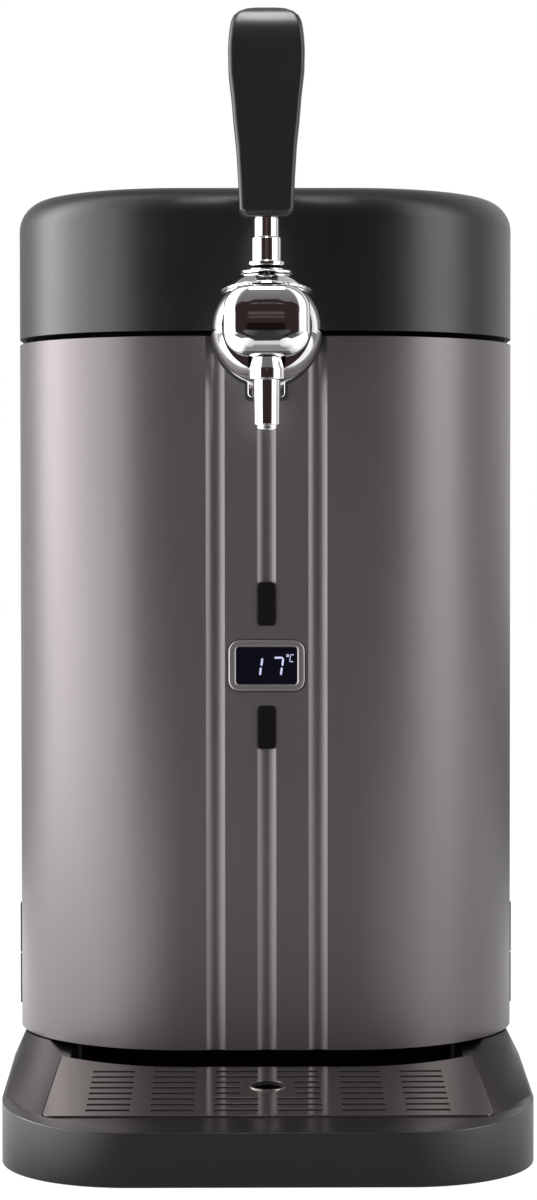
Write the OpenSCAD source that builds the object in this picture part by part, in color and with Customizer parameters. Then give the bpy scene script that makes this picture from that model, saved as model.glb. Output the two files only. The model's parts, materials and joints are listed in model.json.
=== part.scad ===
// Countertop dispenser for small kegs of beer, cooled by a thermoelectric module.
// Millimetres. Z is up, the front faces -Y and X runs to the viewer's right.
// The origin is on the table, under the middle of the outer box.
// Modules measure depth (Y) from the front face of the body, and placed() moves them.

/* [Body] */
// Width of the body
body_w = 230; // [205:1:260]
// Depth of the body
body_d = 284; // [255:1:320]
// Radius of the two front corners, seen from above
front_corner_r = 78; // [60:1:84]
// Radius of the two rear corners, seen from above
rear_corner_r = 30; // [24:1:33]
// Height of the body's bottom edge above the table
body_lift = 34; // [32:1:44]
// Height of the body from its bottom edge to the seam under the lid
body_h = 318; // [305:1:340]
// Wall of the body shell and rear cover
shell_wall = 3; // [2.5:0.5:4]
// Depth of the rear cover, its rounded corners included
cover_d = 34; // [34:1:40]

/* [Grooves] */
// Width of each upright groove in the front
groove_w = 8.5; // [6:0.5:10]
// Distance of the side grooves from the middle
groove_x = 22.8; // [21:0.1:26]
// Depth of the grooves
groove_depth = 1.8; // [1:0.1:2]

/* [Side vents] */
// Length of each side vent
vent_l = 110; // [60:1:150]
// Height of each side vent
vent_h = 21.7; // [16:0.1:24]
// Gap between the upper and the lower vent
vent_gap = 2.4; // [2:0.1:4]
// Height of the lower vent above the body's bottom edge
vent_rise = 8.6; // [7:0.1:14]
// How far the vents stand out
vent_proud = 1.3; // [0.8:0.1:2]
// Number of slots in each vent
vent_slots = 12; // [6:1:16]

/* [Lid] */
// Height of the lid
lid_h = 64.5; // [60:0.5:80]
// Radius of the lid's soft top edge
lid_edge_r = 14; // [8:1:18]
// Wall of the lid
lid_wall = 3; // [2:0.5:4]
// Gap of the seam between body and lid
seam_gap = 2.5; // [1.5:0.1:3]
// Thickness of the plate that closes the lid from below
liner_t = 3; // [2:0.5:4]
// Thickness of the lid's foam
lid_foam_t = 40; // [20:1:42]
// Width of the lid's seal ring
lid_seal_w = 4; // [3:0.5:6]

/* [Lid hinge] */
// Radius of the hinge knuckles
knuckle_r = 4.5; // [4:0.1:5.5]
// Distance of each hinge from the nearer rear corner
hinge_margin = 1; // [0:0.5:10]
// Length of one whole hinge
hinge_len = 44; // [36:1:50]
// Thickness of the hinge leaves
leaf_t = 2; // [1.5:0.1:2.5]
// Height of each leaf
leaf_h = 24; // [20:1:30]
// Diameter of the hinge pins
hinge_pin_d = 3.5; // [2.5:0.1:4]

/* [Base] */
// Height of the rubber feet
foot_h = 2; // [1.5:0.5:3]
// Diameter of the rubber feet
foot_d = 16; // [12:1:20]
// Wall of the base pan
base_wall = 3; // [2:0.5:4]
// How far the base pan and the drip tray are set in from the body's sides
base_inset = 3; // [2:0.5:5]
// Depth of the bay that takes the drip tray, under the body
tray_bay_d = 62; // [58:1:66]
// Thickness of the shelf that the drip tray slides on
shelf_t = 2.5; // [2:0.5:3]
// Distance of the two ribs under the insulation from the middle
rib_x = 58; // [57:1:66]

/* [Drip tray] */
// How far the tray stands out in front of the body
tray_reach = 125; // [115:1:135]
// Radius of the tray's front corners
tray_corner_r = 55; // [40:1:60]
// Height of the rim at the front of the tray
tray_front_z = 23.3; // [23:0.1:26]
// Wall of the tray
tray_wall = 2.5; // [2:0.5:3]
// Width of the rim on either side of the drip plate, at the front
plate_rim_w = 17.7; // [16:0.1:22]
// Distance from the tray's front edge to the drip plate
plate_setback = 38; // [32:1:42]
// Gap between the drip plate's curved rear edge and the body
plate_gap = 12.5; // [10:0.5:20]
// How much narrower the drip plate gets on either side towards the rear
plate_taper = 3.2; // [0:0.1:5]
// Thickness of the drip plate
plate_t = 1.5; // [1:0.1:2]
// How deep the drip plate lies below the sloping rim
plate_drop = 3.9; // [3:0.1:4.5]
// Width of one slot
slot_w = 18.5; // [12:0.1:20]
// Depth of one slot
slot_d = 2.8; // [2:0.1:4]
// Distance between the columns of slots
slot_pitch_x = 26.9; // [24:0.1:28]
// Distance between the rows of slots
slot_pitch_y = 8.45; // [7:0.05:9]
// Diameter of the finger hole
finger_d = 13.6; // [12:0.1:15]

/* [Cooling] */
// Room between the insulation and either side wall
side_space = 8.2; // [7.8:0.1:12]
// Room between the fan and the rear wall
rear_space = 8.7; // [4:0.1:12]
// Wall of the keg chamber
chamber_wall = 1.5; // [1:0.1:2]
// Thickness of the insulation round the chamber
insulation_t = 13; // [10:0.5:14]
// Thickness of the insulation under the chamber
insulation_base_t = 21; // [12:1:30]
// Space between the front wall and the insulation, for the control board
board_space = 13; // [12.5:0.1:14]
// Height of the middle of the cooler above the body's bottom edge
cooler_rise = 166; // [140:1:190]
// Width and height of the cold block
cold_block_w = 40; // [36:1:50]
// Thickness of the cold block at its middle
cold_block_t = 18; // [16:0.5:19]
// Thickness of the thermoelectric module
peltier_t = 4; // [3:0.1:5]
// Width and height of the heat sink and the fan
sink_w = 92; // [80:1:96]
// Length of the heat sink's fins
fin_l = 20; // [14:1:21]
// Number of fins
fin_count = 14; // [8:1:18]
// Depth of the fan
fan_t = 15; // [12:1:16]
// Number of fan blades
blade_count = 7; // [5:1:9]

/* [Controls] */
// Width of the display frame
bezel_w = 34; // [32:0.5:36]
// Height of the display frame
bezel_h = 22.8; // [20.5:0.2:24]
// Width of the display window
window_w = 27.2; // [24:0.2:28]
// Height of the display window
window_h = 16.5; // [14:0.1:17]
// Height of the display above the body's bottom edge
display_rise = 171.7; // [160:0.1:190]
// Width of the two buttons
button_w = 8; // [7.8:0.1:9]
// Height of the two buttons
button_h = 18.8; // [16:0.1:21]
// Radius of the buttons' corners
button_corner_r = 1.6; // [0.5:0.1:3]
// Distance of the buttons from the display, middle to middle
button_pitch = 27.5; // [26:0.1:30]
// Travel of the buttons
button_travel = 1; // [0.5:0.1:1]

/* [Tap] */
// Radius of the ball of the tap
ball_r = 24.2; // [23.6:0.1:24.6]
// Height of the ball's middle above the line of the shank
ball_rise = 0.5; // [0:0.1:1]
// Diameter of the rubber washer behind the tap
gasket_d = 49; // [48:0.5:54]
// Diameter of the chrome plate behind the tap
flange_d = 46.4; // [44:0.2:47]
// Outer diameter of the threaded shank
shank_d = 20; // [18:0.5:21]
// Width of the front cap
cap_w = 37.4; // [34:0.2:40]
// Height of the front cap
cap_h = 31; // [28:0.2:32]
// Half of the angle that the bonnet covers on top of the ball
bonnet_angle = 52; // [48:1:53]
// How far the bonnet leans back from the front cap
bonnet_lean = 10; // [8:1:12]
// How far the spout stands in front of the ball's middle
spout_reach = 13.5; // [12:0.1:14]
// Length of the spout below its collar
spout_l = 19.5; // [15:0.5:25]
// Diameter of the spout
spout_d = 11.7; // [10:0.1:13]
// Diameter of the foot of the lever's stem
stem_foot_d = 13.5; // [12:0.1:15]
// Diameter of the lever's stem
stem_d = 11.3; // [9:0.1:11.8]

/* [Handle] */
// Length of the grip
grip_l = 92.5; // [80:0.5:110]
// Greatest width of the grip
grip_w = 33.2; // [30:0.1:36]
// Width of the grip at its lower end
grip_foot_w = 23.9; // [20:0.1:25]
// Greatest thickness of the grip from front to back
grip_t = 23; // [20:0.5:26]
// Thickness of the grip at its lower end
grip_foot_t = 17; // [15:0.5:18]

/* [Hidden] */
$fn = 96;

// Clearances
fit = 0.3;
running = 0.05;
tiny = 0.02;
cut = 1;

// Heights of the body
base_floor_z = body_lift + base_wall;
body_top_z = body_lift + body_h;
lid_z = body_top_z + seam_gap;
lid_top_z = lid_z + lid_h;
seam_z = body_top_z + seam_gap / 2;
deck_t = 4;
deck_top_z = body_top_z - 2;
deck_z = deck_top_z - deck_t;
ledge_w = 4;
ledge_h = 3;
cover_seam_y = body_d - cover_d;
hinge_y = body_d + knuckle_r;
hinge_x = body_w / 2 - rear_corner_r - hinge_len / 2 - hinge_margin;
total_d = tray_reach + hinge_y + knuckle_r;

// Keg chamber and cooler. The chamber is as wide as the body's width and depth allow
sink_base_t = 5;
cooler_d = cold_block_t + peltier_t + sink_base_t + fin_l + fan_t + rear_space;
jacket_room_x = body_w / 2 - shell_wall - side_space;
jacket_room_y = (body_d - 2 * shell_wall - board_space - cooler_d + insulation_t + fit) / 2;
insulation_ro = min(jacket_room_x, jacket_room_y);
insulation_ri = insulation_ro - insulation_t;
chamber_ro = insulation_ri - fit;
chamber_d = 2 * (chamber_ro - chamber_wall);
chamber_y = shell_wall + board_space + insulation_ro;
chamber_floor_z = base_floor_z + insulation_base_t + fit;
chamber_flange_w = 6;
chamber_flange_z = deck_z - chamber_wall;
cooler_z = body_lift + cooler_rise;
block_y = chamber_y + chamber_ro + cold_block_t;
peltier_y = block_y + peltier_t;
fin_y = peltier_y + sink_base_t;
fan_y = fin_y + fin_l;
fan_rear_y = fan_y + fan_t;
fan_bore_d = sink_w - 6;
fan_hub_d = 34;
fan_shaft_d = 3;
fan_screw_d = 3.5;
fan_screw_x = sink_w / 2 - 6;

// Side vents
vent_y = front_corner_r + 6;
vent_z = body_lift + vent_rise;

// Screws of the rear cover
cover_screw_d = 3.5;
low_screw_x = body_w / 2 - rear_corner_r - 17;
high_screw_x = 24;
boss_w = 14;
boss_d = 16;
low_screw_z = base_floor_z + 12;
high_screw_z = deck_z - 9;
boss_y = body_d - shell_wall - fit - boss_d;

// Controls, measured from the front face
display_z = body_lift + display_rise;
board_y = shell_wall + 8;
board_t = 1.6;
board_w = 52;
board_h = 2 * button_pitch + 44;
board_screw_d = 2.5;
board_boss_d = 7;
bezel_proud = 1;
bezel_rear_y = shell_wall + 1.5;
window_y = -0.4;
window_t = 1.4;
button_proud = 0.6;
button_lip = 1.2;
button_lip_y = shell_wall + fit;
button_lip_t = 1;
switch_w = 6;
switch_t = 3.5;
switch_tip_l = 0.9;
switch_tip_d = 3;

// Mains parts in the rear cover
rocker_x = -16;
mains_z = base_floor_z + 44;
inlet_w = 27;
inlet_h = 19.6;
inlet_flange_w = 34;
inlet_x = inlet_flange_w / 2 + rear_corner_r + 6 - body_w / 2;
inlet_flange_h = 26;
inlet_depth = 17;
hinge_screw_d = 3;
hinge_screw_rise = leaf_h / 2 + 5;
mains_flange_t = 2;
rocker_w = 11;
rocker_h = 18;
rocker_tilt = 6;
rocker_pivot_y = body_d - 4;

// Power supply in the base
supply_w = 2 * rib_x - base_wall - 8;
supply_d = 96;
supply_end_y = chamber_y + insulation_ro - 5.8;

// Tap, measured from the front face
gasket_t = 1.5;
flange_t = 2;
flange_y = -gasket_t - flange_t;
ball_y = flange_y - ball_r + 1.2;
ball_z = seam_z + ball_rise;
neck_d = 26;
shank_front_y = flange_y - 9;
shank_rear_y = shell_wall + board_space - 0.5;
barb_l = 12;
hose_y = shank_rear_y + barb_l + 1;
hose_bend_r = 30;
shank_bore_d = 10;
valve_seat_d = 6;
valve_seat_y = -2;
nut_t = 6;
nut_flats = 30;
nut_d = nut_flats / cos(30);
nut_y = shell_wall;
plunger_d = 4;
seal_d = 9;
seal_t = 3;
tab_w = 16.5;
tab_l = 28.6;
tab_r = 2;
cap_depth = 10;
cap_y = ball_y - ball_r - 0.3;
cap_rear_y = cap_y + cap_depth;
cap_top_z = ball_z + 17.7;
cap_corner_r = 11;
bonnet_ri = ball_r + 0.2;
bonnet_t = 1.3;
cover_ri = bonnet_ri + bonnet_t + fit;
cover_t = 1.2;
cover_angle = 26;
arm_d = 5;
arm_tip_r = 2.5;
arm_reach = 10;
arm_eye_r = 4;
arm_eye_w = 8;
pivot_d = 4;
stem_z = ball_z + cover_ri + cover_t;
stem_foot_l = 12;
stem_l = 21.5;
grip_z = stem_z + stem_l - 1;
grip_rod_l = 30;
spout_y = ball_y - spout_reach;
collar_d = 15.9;
collar_h = 9.7;
collar_top_z = cap_top_z - cap_h;
collar_z = collar_top_z - collar_h;
spout_z = collar_z - spout_l;
spout_bore_d = 7.7;

// Beer line behind the tap
barb_d = 6.4;
hose_d = 9.5;
hose_drop = 8;
coupler_d = 22;
coupler_l = 24;

// Drip tray and base
tray_w = body_w - 2 * base_inset;
plate_w = tray_w - 2 * plate_rim_w;
shelf_z = foot_h + shelf_t;
tray_y = -tray_reach;
tray_rear_y = tray_bay_d - fit;
tray_floor_z = shelf_z + fit;
tray_skirt_z = 1;
tray_rim_z = body_lift - 0.5;
tray_slope_d = tray_reach - 5;
rim_edge = 0.5;
plate_lip = 0.5;
plate_y = tray_y + plate_setback;
tray_slope = atan((tray_rim_z - tray_front_z) / tray_slope_d);
plate_front_z = tray_front_z + plate_setback * tan(tray_slope) - plate_drop / cos(tray_slope);
plate_ledge = 3.3;
plate_corner_r = 4;
plate_l = front_corner_r / 2 - plate_y;
basin_w = plate_w - 2 * plate_ledge - 2 * plate_taper;
basin_y = plate_y + plate_ledge;
basin_d = tray_bay_d - 15 - basin_y;
shelf_w = basin_w - 4;
slot_columns = 6;
slot_rows = 8;
slots_y = plate_y + slot_pitch_y - 0.5;
finger_y = -plate_gap - 2.25 * finger_d;

// Moves a piece from the front face's own depth to the part's frame
module placed() {
    translate([0, tray_reach - total_d / 2, 0]) children();
}

// Rectangle with two front and two rear corner radii, its front edge on Y = 0
module plan_outline(w, d, rf, rr) {
    translate([-w / 2, rf]) square([w, d - rf - rr]);
    translate([rf - w / 2, 0]) square([w - 2 * rf, d]);
    translate([rr - w / 2, rf]) square([w - 2 * rr, d - rf]);
    for (side = [-1, 1]) {
        translate([side * (w / 2 - rf), rf]) circle(rf);
        translate([side * (w / 2 - rr), d - rr]) circle(rr);
    }
}

// Outline of the body, set in all round
module body_plan(inset = 0) {
    translate([0, inset])
        plan_outline(body_w - 2 * inset, body_d - 2 * inset,
            front_corner_r - inset, rear_corner_r - inset);
}

// Outline of the drip tray, set in all round
module tray_plan(inset = 0) {
    translate([0, tray_y + inset])
        plan_outline(tray_w - 2 * inset, tray_rear_y - tray_y - 2 * inset,
            tray_corner_r - inset, plate_corner_r);
}

module slab(z0, z1) {
    translate([0, 0, z0]) linear_extrude(z1 - z0) children();
}

// Centred rectangle with equal round corners
module round_rect(w, h, r) {
    square([w - 2 * r, h], center = true);
    square([w, h - 2 * r], center = true);
    for (x = [-1, 1], y = [-1, 1])
        translate([x * (w / 2 - r), y * (h / 2 - r)]) circle(r);
}

// Flat shape drawn in X and Z, thickened along Y from y0 to y1
module upright(y0, y1) {
    translate([0, y1, 0]) rotate([90, 0, 0]) linear_extrude(y1 - y0) children();
}

// Round bar along Y from y0 to y1
module bar_y(d, y0, y1) {
    translate([0, y1, 0]) rotate([90, 0, 0]) cylinder(h = y1 - y0, d = d);
}

// Disc-cornered slab whose top edge is rounded all round
module soft_slab(inset, z0, z1, r) {
    w = body_w - 2 * inset;
    d = body_d - 2 * inset;
    h = z1 - z0;
    rf = front_corner_r - inset;
    rr = rear_corner_r - inset;
    translate([0, inset, z0]) {
        translate([0, d - rr, 0]) rotate([90, 0, 0])
            linear_extrude(d - rf - rr) soft_profile(w / 2, h, r, true);
        soft_bar(w / 2 - rf, rf, h, r);
        translate([0, d, 0]) mirror([0, 1, 0]) soft_bar(w / 2 - rr, rr, h, r);
        for (side = [-1, 1]) {
            translate([side * (w / 2 - rf), rf, 0])
                rotate_extrude() soft_profile(rf, h, r, false);
            translate([side * (w / 2 - rr), d - rr, 0])
                rotate_extrude() soft_profile(rr, h, r, false);
        }
    }
}

// Straight stretch of the soft slab between two corners, its edge on Y = 0
module soft_bar(half_l, depth, h, r) {
    translate([-half_l, depth, 0]) rotate([90, 0, 90]) mirror([1, 0, 0])
        linear_extrude(2 * half_l) soft_profile(depth, h, r, false);
}

// Section with a rounded top corner, on one side or on both
module soft_profile(half_w, h, r, both) {
    x0 = both ? -half_w : 0;
    translate([x0, 0]) square([half_w - x0, h - r]);
    translate([both ? r - half_w : 0, 0])
        square([both ? 2 * (half_w - r) : half_w - r, h]);
    intersection() {
        for (side = both ? [-1, 1] : [1])
            translate([side * (half_w - r), h - r]) circle(r);
        translate([x0, 0]) square([half_w - x0, h]);
    }
}

// Smooth tube swept along a list of points
function unit(v) = v / norm(v);
function ring_at(p, t, r, sides) =
    let (a = unit(cross(t, abs(t.z) < 0.9 ? [0, 0, 1] : [0, 1, 0])), b = cross(t, a))
    [for (i = [0:sides - 1]) p + r * (cos(360 * i / sides) * a + sin(360 * i / sides) * b)];
function heading(path, i) =
    unit(path[min(i + 1, len(path) - 1)] - path[max(i - 1, 0)]);
module swept_tube(path, r, sides = 10) {
    n = len(path);
    points = [for (i = [0:n - 1]) each ring_at(path[i], heading(path, i), r, sides)];
    walls = [for (i = [0:n - 2], k = [0:sides - 1])
        let (a = i * sides + k, b = i * sides + (k + 1) % sides)
        each [[a, b + sides, b], [a, a + sides, b + sides]]];
    start = [for (k = [1:sides - 2]) [0, k, k + 1]];
    end = [for (k = [1:sides - 2]) [(n - 1) * sides, (n - 1) * sides + k + 1,
        (n - 1) * sides + k]];
    polyhedron(points, concat(walls, start, end));
}

// ---- Base and casing ----

module base_pan() color("#151416") placed() {
    pit_y = tray_bay_d + base_wall;
    rib_end_y = chamber_y + insulation_ro - 12;
    difference() {
        union() {
            slab(body_lift - tiny, base_floor_z) intersection() {
                body_plan(shell_wall + fit);
                translate([-body_w, pit_y + fit]) square([2 * body_w, body_d]);
            }
            slab(foot_h, body_lift) intersection() {
                body_plan(base_inset);
                translate([-body_w, tray_bay_d]) square([2 * body_w, body_d]);
            }
        }
        difference() {
            slab(foot_h + base_wall, base_floor_z + cut) intersection() {
                body_plan(base_inset + base_wall + fit);
                translate([-body_w, pit_y]) square([2 * body_w, body_d]);
            }
            for (side = [-1, 1])
                translate([side * rib_x - base_wall / 2, pit_y - cut, foot_h])
                    cube([base_wall, rib_end_y - pit_y + cut, base_floor_z - foot_h]);
        }
    }
    translate([-shelf_w / 2, plate_y - 4, foot_h])
        cube([shelf_w, tray_bay_d - plate_y + 4 + cut, shelf_t]);
    for (side = [-1, 1]) difference() {
        translate([side * low_screw_x - boss_w / 2, boss_y, foot_h + base_wall - tiny])
            cube([boss_w, boss_d, low_screw_z + boss_w / 2 - foot_h - base_wall]);
        translate([side * low_screw_x, 0, low_screw_z])
            bar_y(cover_screw_d, boss_y + 3, body_d);
    }
}

// Panel that closes the body above the tray's bay
module bay_cover() color("#18171a") placed() slab(body_lift, base_floor_z) intersection() {
    body_plan(shell_wall + fit);
    translate([-body_w, 0]) square([2 * body_w, tray_bay_d + base_wall]);
}

module feet() color("#0c0c0d") placed() {
    front_x = shelf_w / 2 - foot_d - 2;
    rear_x = body_w / 2 - foot_d - 13;
    places = [[front_x, plate_y + foot_d - 2], [rear_x, tray_bay_d + 1.5 * foot_d],
        [rear_x, body_d - rear_corner_r - 4]];
    for (side = [-1, 1], place = places)
        translate([side * place.x, place.y, 0]) cylinder(h = foot_h, d = foot_d);
}

// Places of the two side vents, one above the other, on the side that is given
module vent_places(side) {
    for (i = [0, 1])
        translate([side * body_w / 2, vent_y, vent_z + i * (vent_h + vent_gap)]) children();
}

// Box that cuts through either side wall
module wall_box(l, h) {
    translate([-shell_wall - cut, 0, 0]) cube([2 * shell_wall + 2 * cut, l, h]);
}

module front_shell() color("#6c686b") placed() difference() {
    union() {
        slab(body_lift, body_top_z) difference() {
            body_plan();
            body_plan(shell_wall);
        }
        slab(base_floor_z, base_floor_z + ledge_h) difference() {
            body_plan(shell_wall - tiny);
            body_plan(shell_wall + ledge_w);
        }
        slab(deck_z - ledge_h, deck_z) difference() {
            body_plan(shell_wall - tiny);
            body_plan(shell_wall + ledge_w);
        }
        for (x = [-1, 1], z = [-1, 1])
            translate([x * (board_w / 2 - 5), 0, display_z + z * (board_h / 2 - 5)])
                bar_y(board_boss_d, shell_wall - tiny, board_y);
    }
    translate([-body_w, cover_seam_y, 0]) cube([2 * body_w, body_d, lid_z]);
    for (x = [-groove_x, groove_x]) front_groove(x, 0, lid_z);
    front_groove(0, 0, display_z - button_pitch);
    front_groove(0, display_z + button_pitch, lid_z);
    translate([0, 0, display_z]) {
        upright(-cut, board_y) round_rect(bezel_w + 2 * fit, bezel_h + 2 * fit, 5 + fit);
        for (z = [-button_pitch, button_pitch]) translate([0, 0, z])
            upright(-cut, board_y)
                round_rect(button_w + 2 * fit, button_h + 2 * fit, button_corner_r + fit);
    }
    translate([0, 0, seam_z]) {
        bar_y(shank_d + 2 * fit, -cut, board_y);
        bar_y(nut_d + 2 * fit, shell_wall, board_y);
    }
    for (x = [-1, 1], z = [-1, 1])
        translate([x * (board_w / 2 - 5), 0, display_z + z * (board_h / 2 - 5)])
            bar_y(board_screw_d, shell_wall + 1, board_y + cut);
    for (side = [-1, 1]) vent_places(side) wall_box(vent_l, vent_h);
}

// Round-bottomed channel in the front face between two heights
module front_groove(x, z0, z1) {
    r = (groove_w * groove_w / 4 + groove_depth * groove_depth) / (2 * groove_depth);
    translate([x, groove_depth - r, z0]) cylinder(h = z1 - z0, r = r);
}

module side_vents() color("#1b1a1c") placed() {
    margin = 6;
    lip = 0.8;
    pitch = (vent_l - 2 * margin) / vent_slots;
    for (side = [-1, 1]) vent_places(side) mirror([side < 0 ? 1 : 0, 0, 0]) difference() {
        union() {
            translate([-shell_wall, fit, fit])
                cube([shell_wall + vent_proud, vent_l - 2 * fit, vent_h - 2 * fit]);
            translate([0, -lip, -lip]) cube([vent_proud, vent_l + 2 * lip, vent_h + 2 * lip]);
        }
        for (i = [0:vent_slots - 1])
            translate([-shell_wall - cut, margin + (i + 0.25) * pitch, margin / 1.5])
                cube([shell_wall + vent_proud + 2 * cut, pitch / 2, vent_h - margin * 4 / 3]);
    }
}

module rear_cover() color("#19181a") placed() {
    slot_count = 9;
    slot_pitch = 9;
    slot_h = 4;
    shroud_d = fan_bore_d + 4;
    difference() {
        union() {
            slab(body_lift, body_top_z) difference() {
                body_plan();
                body_plan(shell_wall);
            }
            translate([0, 0, cooler_z]) bar_y(shroud_d, fan_rear_y + fit, body_d - shell_wall + tiny);
        }
        translate([-body_w, -cut, 0]) cube([2 * body_w, cover_seam_y + fit + cut, lid_z]);
        translate([0, 0, cooler_z]) bar_y(shroud_d - 4, fan_rear_y, body_d - shell_wall);
        for (i = [0:slot_count - 1]) {
            z = (i - (slot_count - 1) / 2) * slot_pitch;
            half = sqrt(pow(fan_bore_d / 2 - 2, 2) - z * z);
            translate([0, 0, cooler_z + z])
                upright(body_d - shell_wall - cut, body_d + cut)
                    round_rect(2 * half, slot_h, slot_h / 2 - tiny);
        }
        cover_screw_places() bar_y(cover_screw_d, boss_y, body_d + cut);
        hinge_screw_places(-1) bar_y(hinge_screw_d, boss_y, body_d + cut);
        translate([inlet_x, 0, mains_z]) upright(boss_y, body_d + cut)
            square([inlet_w + 2 * fit, inlet_h + 2 * fit], center = true);
        translate([rocker_x, 0, mains_z]) upright(boss_y, body_d + cut)
            square([rocker_w + 4 + 2 * fit, rocker_h + 4 + 2 * fit], center = true);
    }
}

// The four screws of the rear cover: a wide pair below and a close pair above
module cover_screw_places() {
    for (side = [-1, 1]) {
        translate([side * low_screw_x, 0, low_screw_z]) children();
        translate([side * high_screw_x, 0, high_screw_z]) children();
    }
}

module cover_screws() color("#8f9194") placed() {
    head_d = 7;
    head_t = 2;
    cover_screw_places() difference() {
            union() {
                bar_y(cover_screw_d, boss_y + 4, body_d + tiny);
                bar_y(head_d, body_d, body_d + head_t);
            }
            for (turn = [0, 90]) translate([0, body_d + head_t, 0]) rotate([0, turn, 0])
                cube([4, 2, 1], center = true);
        }
}

module top_deck() color("#1f1e20") placed() {
    saddle_w = 40;
    saddle_z = seam_z - shank_d / 2 - 4;
    saddle_y = nut_y + nut_t + fit;
    difference() {
        union() {
            slab(deck_z, deck_top_z) body_plan(shell_wall + fit);
            translate([-saddle_w / 2, saddle_y, saddle_z])
                cube([saddle_w, shank_rear_y - saddle_y, deck_top_z - saddle_z]);
            for (side = [-1, 1])
                translate([side * high_screw_x - boss_w / 2, boss_y, high_screw_z - boss_w / 2])
                    cube([boss_w, boss_d, deck_z - high_screw_z + boss_w / 2 + tiny]);
        }
        translate([0, chamber_y, deck_z - cut]) cylinder(h = deck_t + 2 * cut, d = chamber_d);
        translate([0, 0, seam_z]) {
            bar_y(shank_d + 2 * running, 0, shank_rear_y + fit);
            bar_y(nut_d + 2 * fit, 0, saddle_y);
            bar_y(hose_d + 2 * fit, 0, chamber_y);
        }
        for (side = [-1, 1]) translate([side * high_screw_x, 0, high_screw_z])
            bar_y(cover_screw_d, boss_y + 3, body_d);
    }
}

// ---- Keg chamber and cooler ----

module insulation_jacket() color("#d9d6cf") placed() difference() {
    translate([0, chamber_y, base_floor_z])
        cylinder(h = chamber_flange_z - base_floor_z - fit, r = insulation_ro);
    translate([0, chamber_y, chamber_floor_z - fit]) cylinder(h = body_h, r = insulation_ri);
    block_gap = cold_block_w / 2 + fit;
    translate([-block_gap, chamber_y, cooler_z - block_gap])
        cube([2 * block_gap, body_d, 2 * block_gap]);
    sensor_seat(fit);
}

// Place of the temperature sensor against the chamber wall
module sensor_seat(extra) {
    sensor_d = 5;
    sensor_l = 24;
    angle = 32;
    reach = chamber_ro + sensor_d / 2 + 0.05;
    translate([reach * sin(angle), chamber_y + reach * cos(angle), cooler_z - sensor_l / 2 - extra])
        cylinder(h = sensor_l + 2 * extra, d = sensor_d + 2 * extra);
}

module cooling_chamber() color("#c4c7ca") placed() translate([0, chamber_y, 0]) difference() {
    union() {
        translate([0, 0, chamber_floor_z])
            cylinder(h = deck_z - chamber_floor_z, r = chamber_ro);
        translate([0, 0, chamber_flange_z])
            cylinder(h = chamber_wall, r = chamber_ro + chamber_flange_w);
    }
    translate([0, 0, chamber_floor_z + chamber_wall]) cylinder(h = body_h, d = chamber_d);
}

module cold_block() color("#b9bcc0") placed() difference() {
    translate([-cold_block_w / 2, chamber_y + chamber_ro * 0.9, cooler_z - cold_block_w / 2])
        cube([cold_block_w, block_y - chamber_y - chamber_ro * 0.9, cold_block_w]);
    translate([0, chamber_y, cooler_z - cold_block_w])
        cylinder(h = 2 * cold_block_w, r = chamber_ro + running);
}

module peltier_module() color("#e8e6df") placed()
    translate([-cold_block_w / 2, block_y, cooler_z - cold_block_w / 2])
        cube([cold_block_w, peltier_t, cold_block_w]);

module heat_sink() color("#a9adb2") placed() translate([0, 0, cooler_z]) difference() {
    fin_t = 1.6;
    union() {
        translate([-sink_w / 2, peltier_y, -sink_w / 2]) cube([sink_w, sink_base_t, sink_w]);
        for (i = [0:fin_count - 1])
            translate([-sink_w / 2 + i * (sink_w - fin_t) / (fin_count - 1), fin_y - tiny,
                -sink_w / 2]) cube([fin_t, fin_l + tiny, sink_w]);
        for (x = [-1, 1], z = [-1, 1]) translate([x * fan_screw_x, 0, z * fan_screw_x])
            bar_y(8, fin_y - tiny, fan_y);
    }
    for (x = [-1, 1], z = [-1, 1]) translate([x * fan_screw_x, 0, z * fan_screw_x])
        bar_y(fan_screw_d, fan_y - 10, fan_y + cut);
}

module fan_frame() color("#141415") placed() translate([0, 0, cooler_z]) {
    strut_w = 5;
    difference() {
        upright(fan_y, fan_rear_y) round_rect(sink_w, sink_w, 5);
        bar_y(fan_bore_d, fan_y - cut, fan_rear_y + cut);
        for (x = [-1, 1], z = [-1, 1]) translate([x * fan_screw_x, 0, z * fan_screw_x])
            bar_y(fan_screw_d, fan_y - cut, fan_rear_y + cut);
    }
    difference() {
        union() {
            bar_y(fan_hub_d, fan_rear_y - 3, fan_rear_y);
            for (turn = [45:90:315]) rotate([0, turn, 0])
                translate([0, fan_rear_y - 3, -strut_w / 2])
                    cube([fan_bore_d / 2 + 0.5, 3, strut_w]);
        }
        bar_y(fan_shaft_d + 2 * running, fan_rear_y - 4, fan_rear_y - 0.8);
    }
}

module fan_rotor() color("#242426") placed() translate([0, 0, cooler_z]) {
    blade_t = 1.4;
    blade_pitch = 38;
    front_y = fan_y + 1;
    rear_y = fan_rear_y - 4;
    bar_y(fan_hub_d, front_y, rear_y);
    bar_y(fan_shaft_d, front_y, fan_rear_y - 1);
    intersection() {
        difference() {
            bar_y(fan_bore_d - 3, front_y + 0.5, rear_y - 0.5);
            bar_y(fan_hub_d - 2, front_y, rear_y);
        }
        union() for (i = [0:blade_count - 1]) rotate([0, 360 * i / blade_count, 0])
            translate([fan_bore_d / 4, (front_y + rear_y) / 2, 0]) rotate([blade_pitch, 0, 0])
                cube([fan_bore_d / 2, blade_t, 40], center = true);
    }
}

module fan_screws() color("#8f9194") placed() translate([0, 0, cooler_z])
    for (x = [-1, 1], z = [-1, 1]) translate([x * fan_screw_x, 0, z * fan_screw_x]) {
        bar_y(fan_screw_d, fan_y - 9, fan_rear_y + tiny);
        bar_y(6.5, fan_rear_y, fan_rear_y + 1.8);
    }

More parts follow.
